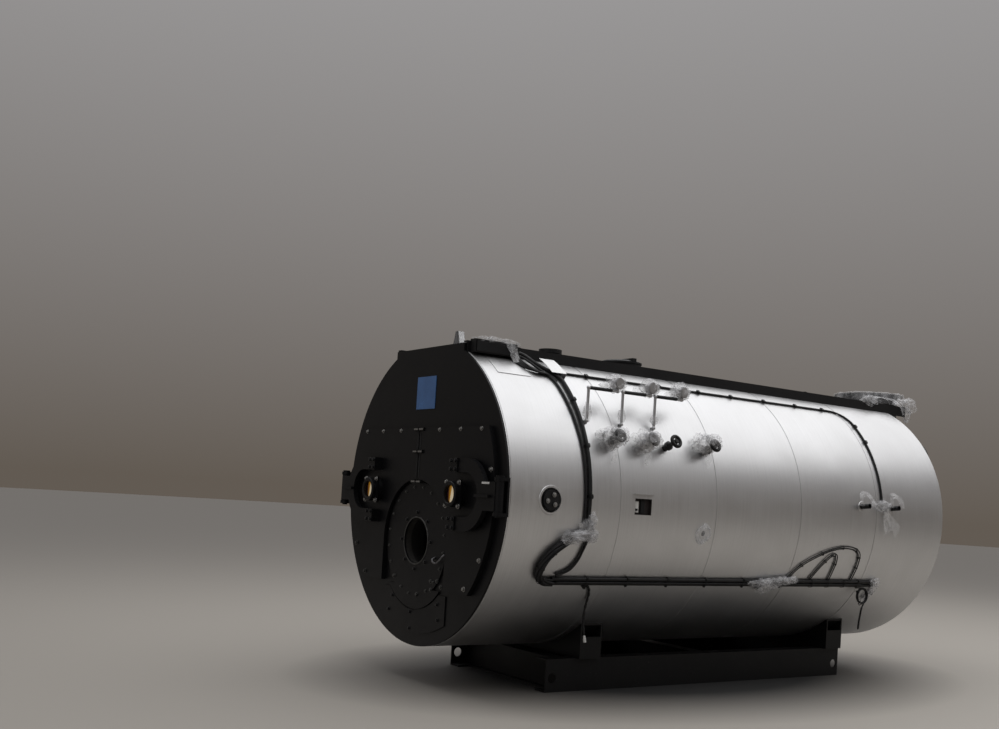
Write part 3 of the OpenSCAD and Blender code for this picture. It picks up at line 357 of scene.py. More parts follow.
def make_plate_enamel():
    """Blue enamel with a worn gloss."""
    f = Finish("plate_enamel", (0.045, 0.13, 0.33), 0.3, Coat_Weight=0.3)
    grain = f.use(GRAIN, Fine_Scale=30.0, Blotch_Scale=6.0)
    n = f.nodes
    f.set("Base Color", n.blend(grain["Blotch"], rgba(0.05, 0.145, 0.36), rgba(0.038, 0.11, 0.28)))
    f.set("Roughness", n.math("MULTIPLY_ADD", grain["Blotch"], 0.15, 0.25))
    f.bump(grain["Height"], 0.05, 0.001)
    return f.material


def make_port_glass():
    """Amber glass with painted light: a lit amber streak down its middle, painted shade to either side, a pale
    painted highlight of a lit sleeve at its foot, and a faint painted glow.
    """
    f = Finish("port_glass_painted_light", (0.3, 0.12, 0.01), 0.18, Coat_Weight=0.5)
    n = f.nodes
    place = n.add("ShaderNodeSeparateXYZ", Vector=n.place())
    aside = n.math("ABSOLUTE", n.math("SUBTRACT", n.math("ABSOLUTE", place.outputs["X"]), PORT_X))
    depth = n.math("SUBTRACT", AXIS_Z + 0.07, place.outputs["Z"])
    # painted highlight: a pale wedge, wide at the bottom of the glass and narrow at its top
    painted_highlight = n.math("SUBTRACT", aside, n.math("MULTIPLY_ADD", depth, 0.2, 0.002))
    # painted light and shade: an amber streak down the middle, dark painted shade to either side
    shade = n.blend(n.spread(aside, 0.03, 0.062), rgba(0.55, 0.26, 0.02), rgba(0.03, 0.008, 0.012))
    shade = n.blend(n.spread(painted_highlight, 0.0, 0.012), rgba(0.85, 0.72, 0.5), shade)
    f.set("Base Color", shade)
    # painted glow: the glass gives off light in its own painted colour, though it is no lamp
    f.set("Emission Color", shade)
    f.set("Emission Strength", 0.25)
    return f.material


def make_plain(name, color, roughness, **sockets):
    """Small moulded or turned part with fine grain."""
    f = Finish(name, color, roughness, **sockets)
    grain = f.use(GRAIN, Fine_Scale=80.0, Blotch_Scale=9.0)
    n = f.nodes
    f.set("Base Color", n.blend(grain["Blotch"], rgba(*color), rgba(*(c * 0.8 for c in color))))
    f.set("Roughness", n.math("MULTIPLY_ADD", grain["Streak"], 0.12, roughness - 0.05))
    f.bump(grain["Height"], 0.12, 0.001)
    return f.material


JACKET_SHEET = make_jacket_sheet()
DOOR_PAINT = make_paint("door_paint", (0.0035, 0.0035, 0.0043), 0.4, 0.12, sheen=0.19)
SKID_PAINT = make_paint("skid_paint", (0.003, 0.003, 0.0033), 0.5, 0.15)
TOP_PAINT = make_paint("walkway_paint", (0.004, 0.004, 0.0048), 0.45, 0.15)
BOLT_PAINT = make_paint("bolt_paint", (0.009, 0.009, 0.01), 0.35, 0.3, 30.0)
REFRACTORY = make_refractory("refractory", 0.0)
# burner throat: near black, as painted shade of the deep bore
REFRACTORY_PAINTED_SHADE = make_refractory("refractory_painted_shade", 0.97)
MILL_STEEL = make_metal("mill_steel", (0.2, 0.18, 0.165), 0.6, rust=0.6)
PIPE_STEEL = make_metal("pipe_steel", (0.5, 0.5, 0.51), 0.38, (1, 1, 8))
VALVE_IRON = make_metal("valve_iron", (0.17, 0.17, 0.18), 0.5, rust=0.1)
ZINC = make_metal("zinc_bolts", (0.33, 0.325, 0.315), 0.45)
DULL_ZINC = make_metal("dull_zinc", (0.11, 0.11, 0.107), 0.55)
CABLE_SHEATH = make_sheath()
WRAPPING_FILM = make_film()
PLATE_ENAMEL = make_plate_enamel()
TIE_NYLON = make_plain("tie_nylon", (0.004, 0.004, 0.0045), 0.5, Specular_IOR_Level=0.3)
PALE_PLASTIC = make_plain("pale_plastic", (0.68, 0.68, 0.67), 0.4)
PORT_GLASS_PAINTED_LIGHT = make_port_glass()
WINDOW_LINER = make_plain("window_liner", (0.016, 0.011, 0.01), 0.7)
GAUGE_FACE = make_plain("gauge_face", (0.8, 0.8, 0.78), 0.3)
DARK_VOID = make_plain("bore_shadow", (0.004, 0.004, 0.004), 0.9)

# Nodes of each finish; the walkway, what stands on it and the rear smokebox aren't named, and have TOP_PAINT
FINISH_NODES = (
    (DOOR_PAINT, ("front_plate", "left_door", "right_door", "left_yoke", "right_yoke",
                  "left_sight_port", "right_sight_port", "left_hinge", "right_hinge",
                  "burner_plate", "lower_cover", "rear_plate")),
    (REFRACTORY, ("left_lining", "right_lining")),
    (REFRACTORY_PAINTED_SHADE, ("burner_throat",)),
    (MILL_STEEL, ("furnace_tube", "furnace_end", "tube_plate", "fire_tubes", "pressure_shell",
                  "smokebox_wrapper", "rear_head")),
    (SKID_PAINT, ("left_skid_beam", "right_skid_beam", "skid_cross_members", "front_saddle", "rear_saddle")),
    (BOLT_PAINT, ("hand_hole_cover", "side_nipples", "gauge_valves")),
    (JACKET_SHEET, ("gauge_window", "jacket_hatch")),
    (PIPE_STEEL, ("gauge_pipes",)),
    (CABLE_SHEATH, ("front_loom", "lower_loom", "top_conduit", "front_tail", "rear_coil", "rear_tail")),
    (TIE_NYLON, ("loom_clips",)),
    (PLATE_ENAMEL, ("name_plate",)),
)
NODE_FINISHES = {node: finish for finish, nodes in FINISH_NODES for node in nodes}


def finish_nodes():
    for node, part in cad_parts.items():
        finish = JACKET_SHEET if node.startswith("jacket_band") else NODE_FINISHES.get(node, TOP_PAINT)
        part.data.materials.clear()
        part.data.materials.append(finish)


# Mesh helpers
def add_piece(name, data, material, body):
    """Object that rides on a body."""
    piece = bpy.data.objects.new(name, data)
    bpy.context.collection.objects.link(piece)
    data.materials.append(material)
    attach(piece, body)
    return piece


def shape_piece(name, bm, material, body, smooth=None):
    """Piece from a drawn mesh: edges up to smooth degrees are rounded, or none where it isn't given."""
    bmesh.ops.recalc_face_normals(bm, faces=bm.faces)
    mesh = bpy.data.meshes.new(name)
    bm.to_mesh(mesh)
    bm.free()
    if smooth is not None:
        mesh.polygons.foreach_set("use_smooth", [True] * len(mesh.polygons))
        mesh.set_sharp_from_angle(angle=math.radians(smooth))
    return add_piece(name, mesh, material, body)


def facing(place, direction, spin=0.0):
    """Matrix that stands a shape drawn along +Z on a surface that faces direction."""
    turn = Vector(direction).to_track_quat("Z", "Y").to_matrix().to_4x4()
    return Matrix.Translation(place) @ turn @ Matrix.Rotation(spin, 4, "Z")


def circle(sides):
    """Cosine and sine at each corner of a ring."""
    return [(math.cos(TAU * k / sides), math.sin(TAU * k / sides)) for k in range(sides)]


def join_rings(bm, rings):
    """Faces between each closed ring of points and the next; a ring of one point is a tip."""
    for low, high in zip(rings, rings[1:]):
        for k in range(max(len(low), len(high))):
            corners = (low[k % len(low)], low[(k + 1) % len(low)],
                       high[(k + 1) % len(high)], high[k % len(high)])
            unique = list(dict.fromkeys(corners))
            if len(unique) > 2:
                bm.faces.new(unique)


def join_rows(bm, rows):
    """Faces between each open row of points and the next."""
    for low, high in zip(rows, rows[1:]):
        for k in range(len(low) - 1):
            bm.faces.new((low[k], low[k + 1], high[k + 1], high[k]))


def add_turned(bm, profile, matrix, sides):
    """Turns a profile of (radius, height) pairs about the local Z."""
    rings = []
    for radius, height in profile:
        corners = circle(sides) if radius else [(0, 0)]
        rings.append([bm.verts.new(matrix @ Vector((radius * c, radius * s, height))) for c, s in corners])
    join_rings(bm, rings)


def add_bolt(bm, matrix, across, height):
    """Hexagon head with a chamfered top, on a washer."""
    r = across / math.sqrt(3)
    washer = 0.0025
    add_turned(bm, [(0, 0), (r * 1.5, 0), (r * 1.55, 0.001), (r * 1.5, washer), (0, washer)], matrix, 20)
    add_turned(bm, [(0, washer), (r, washer), (r, height - 0.002), (r * 0.86, height), (0, height)], matrix, 6)


def fasteners(name, places, body, across=0.024, height=0.015, material=BOLT_PAINT):
    """One piece of many bolt heads at (point, direction) pairs; each is turned on from the one before."""
    bm = bmesh.new()
    for i, (point, direction) in enumerate(places):
        add_bolt(bm, facing(point, direction, 0.4 * i), across, height)
    shape_piece(name, bm, material, body, smooth=30)


def on_face(x, z, y):
    """Place and direction on a face that looks forward; z counts from the axis."""
    return Vector((x, y, AXIS_Z + z)), FORWARD


def circle_places(radius, count, y, first=0.0):
    """Places on a circle about the burner."""
    drop = BURNER_Z - AXIS_Z
    turns = [math.radians(first) + TAU * i / count for i in range(count)]
    return [on_face(radius * math.cos(a), drop + radius * math.sin(a), y) for a in turns]


def add_bolts():
    """Bolt heads of the doors, the burner plate and the lower cover; the pale ones are zinc plated."""
    rim = circle_places(0.495, 20, BURNER_PLATE_Y, 9)
    fasteners("burner_plate_bolts", rim, VESSEL, 0.018, 0.012, DULL_ZINC)
    flange = circle_places(0.26, 8, BURNER_PLATE_Y)
    fasteners("burner_flange_bolts", flange, VESSEL, 0.026, 0.016)
    foot = [on_face(x, z, BURNER_PLATE_Y) for x, z in (
        (0.307, -0.789), (0.483, -0.826), (0.316, -0.866), (0.414, -0.778), (0.072, -0.93), (-0.366, -0.8))]
    fasteners("burner_foot_bolts", foot, VESSEL, 0.024, 0.014, DULL_ZINC)
    cover = [on_face(x, z, LOWER_COVER_Y) for x, z in (
        (-0.387, -0.985), (0.425, -0.985), (-0.04, -1.1), (0.445, -1.12), (-0.445, -1.12), (-0.04, -1.25))]
    fasteners("lower_cover_bolts", cover, VESSEL)
    for side, body in DOORS:
        top = [on_face(side * x, 0.566, DOOR_Y) for x in (0.35, 0.7, 1.03)]
        fasteners(f"{body}_top_bolts", top, body, 0.022, 0.014, ZINC)
        edge = [on_face(side * x, z, DOOR_Y) for x, z in ((1.21, 0.222), (1.11, -0.54), (0.9, -0.8))]
        fasteners(f"{body}_edge_bolts", edge, body, 0.026, 0.018, ZINC if side > 0 else DULL_ZINC)
        port = [on_face(side * PORT_X + dx, dz, PORT_FACE_Y)
                for dx in (-0.102, 0.102) for dz in (-0.102, 0.102)]
        fasteners(f"{body}_port_bolts", port, body, 0.026, 0.018, ZINC)
        feet = [on_face(side * PORT_X + dx, foot_z + dz, YOKE_FOOT_Y)
                for foot_z in (-0.25, 0.25) for dx in (-0.036, 0.036) for dz in (-0.036, 0.036)]
        fasteners(f"{body}_yoke_bolts", feet, body, 0.028, 0.018)


def add_slab(bm, low, high):
    """Box between two corners."""
    low, high = Vector(low), Vector(high)
    size = high - low
    bmesh.ops.create_cube(bm, size=1, matrix=Matrix.Translation((low + high) / 2) @ Matrix.Diagonal((*size, 1)))


def add_front_trim():
    """Glass of the ports with painted light and glow, pale clasp bars, black strips of painted shadow at the
    seam, a pale painted highlight on the right yoke, the handle and the burner's bare rim.
    """
    for side, body in DOORS:
        bm = bmesh.new()
        # glass disc of the port, with painted light and glow
        add_turned(bm, [(0.0775, 0.0005), (0.0775, 0.0012), (0, 0.0012)],
                   facing((side * PORT_X, PORT_FACE_Y, AXIS_Z), FORWARD), 48)
        shape_piece(f"{body}_port_glass_painted_light", bm, PORT_GLASS_PAINTED_LIGHT, body)
        bm = bmesh.new()
        for z in (0.576, 0.371, 0.096):
            inner, outer = sorted((side * 0.012, side * 0.08))
            add_slab(bm, (inner, DOOR_Y - 0.0185, AXIS_Z + z - 0.008),
                     (outer, DOOR_Y - 0.0145, AXIS_Z + z + 0.006))
        shape_piece(f"{body}_clasp_bars", bm, ZINC, body)
        bm = bmesh.new()
        # painted shadow: a thin black strip on the door face beside the seam, where the gap between the doors
        # lies in shade
        inner, outer = sorted((side * 0.01, side * 0.034))
        add_slab(bm, (inner, DOOR_Y - 0.0016, AXIS_Z + 0.14), (outer, DOOR_Y - 0.0002, AXIS_Z + 0.585))
        shape_piece(f"{body}_seam_painted_shadow", bm, DARK_VOID, body)
    yoke_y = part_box("right_yoke")[0].y
    # painted highlight: a pale strip on the right yoke's arm, where its edge catches the light
    bm = bmesh.new()
    add_slab(bm, (1.19, yoke_y + 0.0265, AXIS_Z + 0.1), (1.3, yoke_y + 0.0298, AXIS_Z + 0.117))
    shape_piece("yoke_painted_highlight", bm, PALE_PLASTIC, RIGHT)
    bow = [(0.355, -0.016, -0.575), (0.36, -0.045, -0.59), (0.385, -0.055, -0.612), (0.44, -0.055, -0.618),
           (0.5, -0.055, -0.585), (0.53, -0.045, -0.55), (0.535, -0.016, -0.535)]
    bm = bmesh.new()
    add_tube(bm, smooth_path([(x, FRONT_Y + y, AXIS_Z + z) for x, y, z in bow], 6), 0.009, 12)
    shape_piece("burner_plate_handle", bm, VALVE_IRON, VESSEL, smooth=50)
    bm = bmesh.new()
    add_turned(bm, [(0.209, 0.0), (0.209, 0.004), (0.213, 0.006), (0.22, 0.0045), (0.222, 0.0)],
               facing((0, BURNER_PLATE_Y, BURNER_Z), FORWARD), 96)
    shape_piece("burner_rim", bm, DULL_ZINC, VESSEL, smooth=40)


def add_collar(bm, back, degrees, inner, outer, rise):
    """Thin collar that lies on the jacket around a round opening."""
    rings = []
    for r, height in ((inner, -0.004), (inner + 0.002, rise), (outer - 0.004, rise), (outer, 0.0004)):
        rings.append([bm.verts.new(on_jacket(back + r * c, degrees + math.degrees(r * s / JACKET_R), height))
                      for c, s in circle(48)])
    join_rings(bm, rings)


def jacket_slab(bm, back0, back1, up0, up1, deep0, deep1, degrees):
    """Box sunk in the jacket: distances along the body, heights from the angle, depths under the sheet."""
    turn = tangent_turn(degrees)
    middle = turn @ Vector((-(deep0 + deep1) / 2, (back0 + back1) / 2, (up0 + up1) / 2)) + on_jacket(0, degrees)
    size = Matrix.Diagonal((abs(deep1 - deep0), back1 - back0, up1 - up0, 1))
    bmesh.ops.create_cube(bm, size=1, matrix=Matrix.Translation(middle) @ turn.to_4x4() @ size)


def add_gauge_window():
    """Dark liner of the window in the jacket, with a pale plate and the black gauge in it."""
    bm = bmesh.new()
    for back0, back1, up0, up1, deep0, deep1 in (
            (-0.0975, 0.0975, -0.0715, 0.0715, 0.036, 0.038),
            (-0.0975, -0.0965, -0.0715, 0.0715, 0.001, 0.038),
            (0.0965, 0.0975, -0.0715, 0.0715, 0.001, 0.038),
            (-0.0975, 0.0975, 0.0705, 0.0715, 0.001, 0.038),
            (-0.0975, 0.0975, -0.0715, -0.0705, 0.001, 0.038)):
        jacket_slab(bm, WINDOW_BACK + back0, WINDOW_BACK + back1, up0, up1, deep0, deep1, WINDOW_ANGLE)
    shape_piece("window_liner", bm, WINDOW_LINER, VESSEL)
    bm = bmesh.new()
    jacket_slab(bm, WINDOW_BACK - 0.088, WINDOW_BACK - 0.032, -0.052, 0.046, 0.03, 0.036, WINDOW_ANGLE)
    shape_piece("window_plate", bm, GAUGE_FACE, VESSEL)
    bm = bmesh.new()
    jacket_slab(bm, WINDOW_BACK - 0.012, WINDOW_BACK + 0.03, -0.06, 0.058, 0.02, 0.036, WINDOW_ANGLE)
    jacket_slab(bm, WINDOW_BACK - 0.068, WINDOW_BACK - 0.046, -0.038, -0.018, 0.022, 0.036, WINDOW_ANGLE)
    shape_piece("window_gauge", bm, DARK_VOID, VESSEL)


def add_side_trim():
    """Collars of the side openings, nuts of the hand hole, sleeves of the gauge arms, grips of the wheels."""
    bm = bmesh.new()
    add_collar(bm, HAND_HOLE_BACK, 0, 0.104, 0.126, 0.007)
    add_collar(bm, PLUG_BACK, PLUG_ANGLE, 0.024, 0.05, 0.003)
    for back in NIPPLE_BACKS:
        add_collar(bm, back, NIPPLE_ANGLE, 0.027, 0.056, 0.005)
    shape_piece("opening_collars", bm, JACKET_SHEET, VESSEL, smooth=35)
    nuts = []
    nut_circle = 0.048
    for a in (math.radians(d) for d in (-50, 70, 190)):
        place = on_jacket(HAND_HOLE_BACK + nut_circle * math.cos(a), 0, 0.026)
        nuts.append((place + Vector((0, 0, nut_circle * math.sin(a))), Vector((1, 0, 0))))
    fasteners("hand_hole_nuts", nuts, VESSEL, 0.024, 0.014, ZINC)
    add_gauge_window()
    arm_z = GAUGE_PIPE_Z + 0.29
    bm = bmesh.new()
    for back in GAUGE_BACKS:
        arm_y = FRONT_Y + back
        add_tube(bm, [Vector((GAUGE_PIPE_X, arm_y + 0.016 + 0.25 * k / 6, arm_z)) for k in range(7)], 0.016, 16)
    shape_piece("arm_sleeves", bm, CABLE_SHEATH, VESSEL, smooth=50)
    bm = bmesh.new()
    rim_r = 0.048
    for back in VALVE_BACKS:
        wheel = facing(on_jacket(back, WHEEL_ANGLE, WHEEL_HEIGHT), outward(WHEEL_ANGLE))
        turns = (TAU * k / 48 for k in range(49))
        add_tube(bm, [wheel @ Vector((rim_r * math.cos(a), rim_r * math.sin(a), 0)) for a in turns], 0.017, 12)
        hub = [(0.021, -0.011), (0.024, -0.006), (0.024, 0.008), (0.018, 0.015), (0, 0.016)]
        add_turned(bm, hub, wheel, 24)
    shape_piece("wheel_grips", bm, TIE_NYLON, VESSEL, smooth=40)


def at_height(height, *places):
    """Route of (distance behind the front face, degrees over the horizontal) that keeps one height."""
    return [(back, degrees, height) for back, degrees in places]


# Cables, with the height of their middles over the jacket
LOOM_R, LOOM_HEIGHT = 0.018, 0.0183
THIN_R = 0.011
CONDUIT_R, CONDUIT_HEIGHT = 0.01, 0.0103
CONDUIT_ANGLE, CONDUIT_DROP_BACK = 55, 4.835
DROP_BACK = 0.85
RUN_ANGLES = (-28.3, -30.03)
RUN_MIDDLE = sum(RUN_ANGLES) / 2

# Routes on the jacket: distance behind the front face, degrees over the horizontal, height of the middle
LEAD_IN = [
    (0.5204, 63.4, 0.053), (0.545, 63.4, 0.053), (0.57, 63.4, 0.053), (0.61, 62, 0.046), (0.66, 58.8, 0.032),
    (0.725, 55.9, 0.0245), (0.79, 53.4, 0.0205), (0.832, 51.3, 0.0186), (0.85, 49.2, 0.0184),
    (0.85, 48, 0.0183),
]
THIN_DROP = [
    (0.5204, 61.8, 0.038), (0.54, 61.8, 0.038), (0.56, 61.8, 0.038), (0.6, 60.2, 0.031), (0.65, 57, 0.02),
    (0.69, 54.3, 0.014),
] + at_height(0.012, (0.755, 49), (0.77, 43), (0.78, 36), (0.792, 28), (0.804, 20), (0.808, 12), (0.81, 4),
              (0.812, -4), (0.816, -7))
BUNDLE = at_height(0.037, (0.85, -11.5), (0.745, -11.8), (0.64, -14), (0.53, -17.5), (0.462, -21.5),
                   (0.442, -25), (0.47, -27.8), (0.54, -29.2), (0.612, -29.3))
INNER_PAIR = at_height(0.019, (0.88, -12), (0.858, -16.5), (0.83, -20.5), (0.775, -24), (0.69, -26),
                       (0.64, -26.6))
REAR_OUTER = at_height(0.012, (3.57, -27.5), (3.66, -22.5), (3.8, -18.6), (4.04, -14.5), (4.26, -12.7),
                       (4.44, -13), (4.54, -15), (4.567, -18.5), (4.568, -22.5), (4.56, -27.5))
REAR_INNER = at_height(0.012, (3.905, -27.5), (4, -21), (4.11, -16.6), (4.185, -16.2), (4.212, -18.8),
                       (4.208, -22.5), (4.203, -27.5))
CONDUIT_BEND = at_height(CONDUIT_HEIGHT, (4.4803, 55), (4.59, 55), (4.7, 54.3), (4.785, 51.9), (4.827, 48.7),
                         (4.835, 46.8), (4.835, 46.03))

# Tails that hang in the air, in x, y and z, and the coil
TAIL_R = 0.007
FRONT_TAIL = [
    (1.211, -1.9596, 1.006), (1.211, -1.943, 1.006), (1.21, -1.926, 1.003), (1.2, -1.9, 0.987),
    (1.168, -1.868, 0.938), (1.128, -1.85, 0.88), (1.1, -1.846, 0.81), (1.086, -1.846, 0.73),
    (1.082, -1.842, 0.65), (1.086, -1.834, 0.59), (1.09, -1.828, 0.54),
]
REAR_TAIL = [
    (1.2245, 1.862, 0.8225), (1.2265, 1.838, 0.785), (1.227, 1.82, 0.72), (1.226, 1.806, 0.65),
    (1.226, 1.796, 0.56),
]
COIL_BACK = 4.8
COIL_R = 0.08
COIL_STRAND = 0.0083
COIL_TURNS = 2.375


def smooth_path(points, steps):
    """Smooth curve through the points, with steps places from each to the next."""
    points = [Vector(p) for p in points]
    path = []
    last = len(points) - 1
    for i in range(last):
        a, b, c, d = (points[max(0, min(last, k))] for k in (i - 1, i, i + 1, i + 2))
        for j in range(steps):
            t = j / steps
            path.append(0.5 * (2 * b + (c - a) * t + (2 * a - 5 * b + 4 * c - d) * t ** 2
                               + (3 * b - a - 3 * c + d) * t ** 3))
    return path + [points[-1]]


def jacket_path(route, steps=6):
    return [on_jacket(*p) for p in smooth_path(route, steps)]


def frames_along(path):
    """Turns along the path: a tangent, a side and an up for each point, without twist."""
    turns = []
    up = None
    for i, point in enumerate(path):
        tangent = (path[min(i + 1, len(path) - 1)] - path[max(i - 1, 0)]).normalized()
        if up is None:
            up = Vector((point.x, 0, point.z - AXIS_Z)).normalized()
        up = (up - up.dot(tangent) * tangent).normalized()
        turns.append((tangent, tangent.cross(up), up))
    return turns


def add_tube(bm, path, radius, sides):
    """Round tube with closed ends; radius is a number or a function of the share of the path."""
    rings = []
    last = len(path) - 1
    for i, (point, (_, side, up)) in enumerate(zip(path, frames_along(path))):
        r = radius(i / last) if callable(radius) else radius
        rings.append([bm.verts.new(point + r * (c * up + s * side)) for c, s in circle(sides)])
    join_rings(bm, rings)
    bm.faces.new(rings[0])
    bm.faces.new(list(reversed(rings[-1])))


def add_strands(bm, path, count, spread, radius, turns):
    """Strands that lie around a path, twisted a little."""
    frames = frames_along(path)
    last = len(path) - 1
    for k in range(count):
        strand = []
        for i, (point, (_, side, up)) in enumerate(zip(path, frames)):
            a = TAU * (k / count + turns * i / last)
            strand.append(point + spread * (math.cos(a) * up + math.sin(a) * side))
        add_tube(bm, strand, radius, 10)


def add_tie(bm, place, along, out, wide, tall, width):
    """Cable tie: a flat band around an oval of half sizes wide and tall, with its lock."""
    side = along.cross(out).normalized()
    thick = 0.0022
    loops = []
    for grow, shift in ((0, -1), (thick, -1), (thick, 1), (0, 1)):
        loops.append([
            bm.verts.new(place + (wide + grow) * c * side + (tall + grow) * s * out + shift * width / 2 * along)
            for c, s in circle(28)])
    join_rings(bm, loops + loops[:1])
    lock = place + (tall + 0.004) * out + 0.3 * wide * side
    turn = Matrix((side, along, out)).transposed().to_4x4()
    size = Matrix.Diagonal((0.011, 0.009, 0.008, 1))
    bmesh.ops.create_cube(bm, size=1, matrix=Matrix.Translation(lock) @ turn @ size)


def tie_path(bm, path, marks, wide, tall, width):
    """Ties around a path, at the points whose numbers are given."""
    turns = frames_along(path)
    for i in marks:
        along, _, up = turns[i]
        add_tie(bm, path[i], along, up, wide, tall, width)


def add_front_cables():
    """Cables from the junction box down the side, with the service loop at the bottom."""
    bm = bmesh.new()
    top, bottom, steps = 48, -9.95, 40
    drop = [on_jacket(DROP_BACK, top - k * (top - bottom) / steps, LOOM_HEIGHT) for k in range(steps + 1)]
    add_tube(bm, jacket_path(LEAD_IN)[:-1] + drop, LOOM_R, 16)
    add_tube(bm, jacket_path(THIN_DROP, 8), THIN_R, 12)
    loop = jacket_path(BUNDLE, 10)
    add_strands(bm, loop, 6, 0.0235, 0.0118, 0.6)
    add_tube(bm, loop, 0.012, 10)
    add_strands(bm, jacket_path(INNER_PAIR, 8), 2, 0.0088, 0.009, 0.4)
    for k in range(4):
        slack = [(0.45 + 0.02 * k, 62.4, 0.03), (0.46 + 0.02 * k, 59.5 - k, 0.014 + 0.008 * k),
                 (0.51 + 0.02 * k, 55.4 - 0.6 * k, 0.012 + 0.006 * k),
                 (0.62, 53.6 - 0.5 * k, 0.012 + 0.006 * k),
                 (0.72, 53.4 - 0.6 * k, 0.011 + 0.004 * k), (0.79, 52.3 - 1.2 * k, 0.011)]
        add_tube(bm, jacket_path(slack), 0.0085, 10)
    cables = shape_piece("front_cables", bm, CABLE_SHEATH, VESSEL, smooth=50)
    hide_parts("front_loom")


def add_cable_cover():
    """Bent pale sheet over the place where the cables turn down, with its edge on the jacket."""
    bm = bmesh.new()
    rows, columns = 10, 5
    start, length, low, high, height = 0.75, 0.165, 51.6, 61.5, 0.053
    for lift in (0.0, 0.002):
        grid = []
        for i in range(rows + 1):
            degrees = low + (high - low) * i / rows
            line = [on_jacket(start + length * k / columns, degrees, height + lift) for k in range(columns + 1)]
            line.append(on_jacket(start + length + 0.002 + lift, degrees, 0.0006))
            grid.append([bm.verts.new(p) for p in line])
        join_rows(bm, grid)
    shape_piece("cable_cover", bm, JACKET_SHEET, VESSEL)


def add_clip_locks():
    """Heads of the clips on the conduit, on its drop and on the thick drop."""
    bm = bmesh.new()
    marks = [(back, CONDUIT_ANGLE, 0.019) for back in (1.21, 1.66, 2.11, 2.64, 3.095, 3.58, 4.065, 4.5)]
    marks += at_height(0.019, (4.838, 45), (4.838, 35.8))
    marks += at_height(0.034, (DROP_BACK, 39), (DROP_BACK, 20), (DROP_BACK, 2))
    for back, degrees, height in marks:
        place = Matrix.Translation(on_jacket(back, degrees, height)) @ tangent_turn(degrees).to_4x4()
        lock = bmesh.ops.create_cube(bm, size=1, matrix=place @ Matrix.Diagonal((0.02, 0.036, 0.04, 1)))
        edges = list(dict.fromkeys(edge for vert in lock["verts"] for edge in vert.link_edges))
        bmesh.ops.bevel(bm, geom=edges, offset=0.003, segments=2, affect="EDGES")
    shape_piece("clip_locks", bm, TIE_NYLON, VESSEL, smooth=40)


def add_lower_cables():
    """Two thick cables along the lower side, a thin one over them, and the arcs of strands at the rear."""
    bm = bmesh.new()
    for angle in RUN_ANGLES:
        add_tube(bm, [on_jacket(0.613 + 4.347 * k / 60, angle, LOOM_HEIGHT) for k in range(61)], LOOM_R, 16)
    thin = [on_jacket(0.66 + 4.1 * k / 90, RUN_MIDDLE + 0.12 * noise.noise(Vector((0.7 * k, 0, 3))), 0.0405)
            for k in range(91)]
    add_tube(bm, thin, 0.0065, 8)
    for route in (REAR_OUTER, REAR_INNER):
        path = jacket_path(route, 10)
        for shift in (-0.012, 0.012):
            add_tube(bm, [p + shift * side for p, (_, side, _) in zip(path, frames_along(path))], 0.0058, 8)
    cables = shape_piece("lower_cables", bm, CABLE_SHEATH, VESSEL, smooth=50)
    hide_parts("lower_loom")


def add_conduit():
    """Thin conduit high on the side that turns down near the rear."""
    bm = bmesh.new()
    run = [on_jacket(0.9 + 3.58 * k / 60, CONDUIT_ANGLE, CONDUIT_HEIGHT) for k in range(60)]
    drop = [on_jacket(CONDUIT_DROP_BACK, 46 - 38 * k / 30, CONDUIT_HEIGHT) for k in range(1, 31)]
    add_tube(bm, run + jacket_path(CONDUIT_BEND) + drop, CONDUIT_R, 12)
    conduit = shape_piece("conduit", bm, CABLE_SHEATH, VESSEL, smooth=50)
    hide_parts("top_conduit")


def add_ties():
    """Cable ties on the service loop, the lower run and the arcs at its rear."""
    bm = bmesh.new()
    tie_path(bm, jacket_path(BUNDLE, 10), (14, 30, 46, 62), 0.038, 0.037, 0.009)
    for back in (3.25, 3.95, 4.2, 4.45):
        place = on_jacket(back, RUN_MIDDLE, 0.0245)
        add_tie(bm, place, Vector((0, 1, 0)), outward(RUN_MIDDLE), 0.0425, 0.0275, 0.012)
    for route, marks in ((REAR_OUTER, (14, 27, 40, 53, 66, 78)), (REAR_INNER, (14, 26, 44))):
        tie_path(bm, jacket_path(route, 10), marks, 0.0195, 0.0125, 0.008)
    shape_piece("cable_ties", bm, TIE_NYLON, VESSEL, smooth=40)


def add_cord_curve(name, path, radius):
    """Round cord drawn as a curve along the path."""
    data = bpy.data.curves.new(name, "CURVE")
    data.dimensions = "3D"
    spline = data.splines.new("POLY")
    spline.points.add(len(path) - 1)
    for point, place in zip(spline.points, path):
        point.co = (*place, 1.0)
    data.bevel_depth = radius
    data.bevel_resolution = 3
    data.use_fill_caps = True
    return add_piece(name, data, CABLE_SHEATH, VESSEL)


def add_tail_wrap(name, path):
    """Loose spiral wrap around a hanging tail."""
    bm = bmesh.new()
    add_tube(bm, path, lambda t: 0.0105 + 0.0018 * math.sin(TAU * 9 * t), 12)
    return shape_piece(name, bm, CABLE_SHEATH, VESSEL, smooth=50)


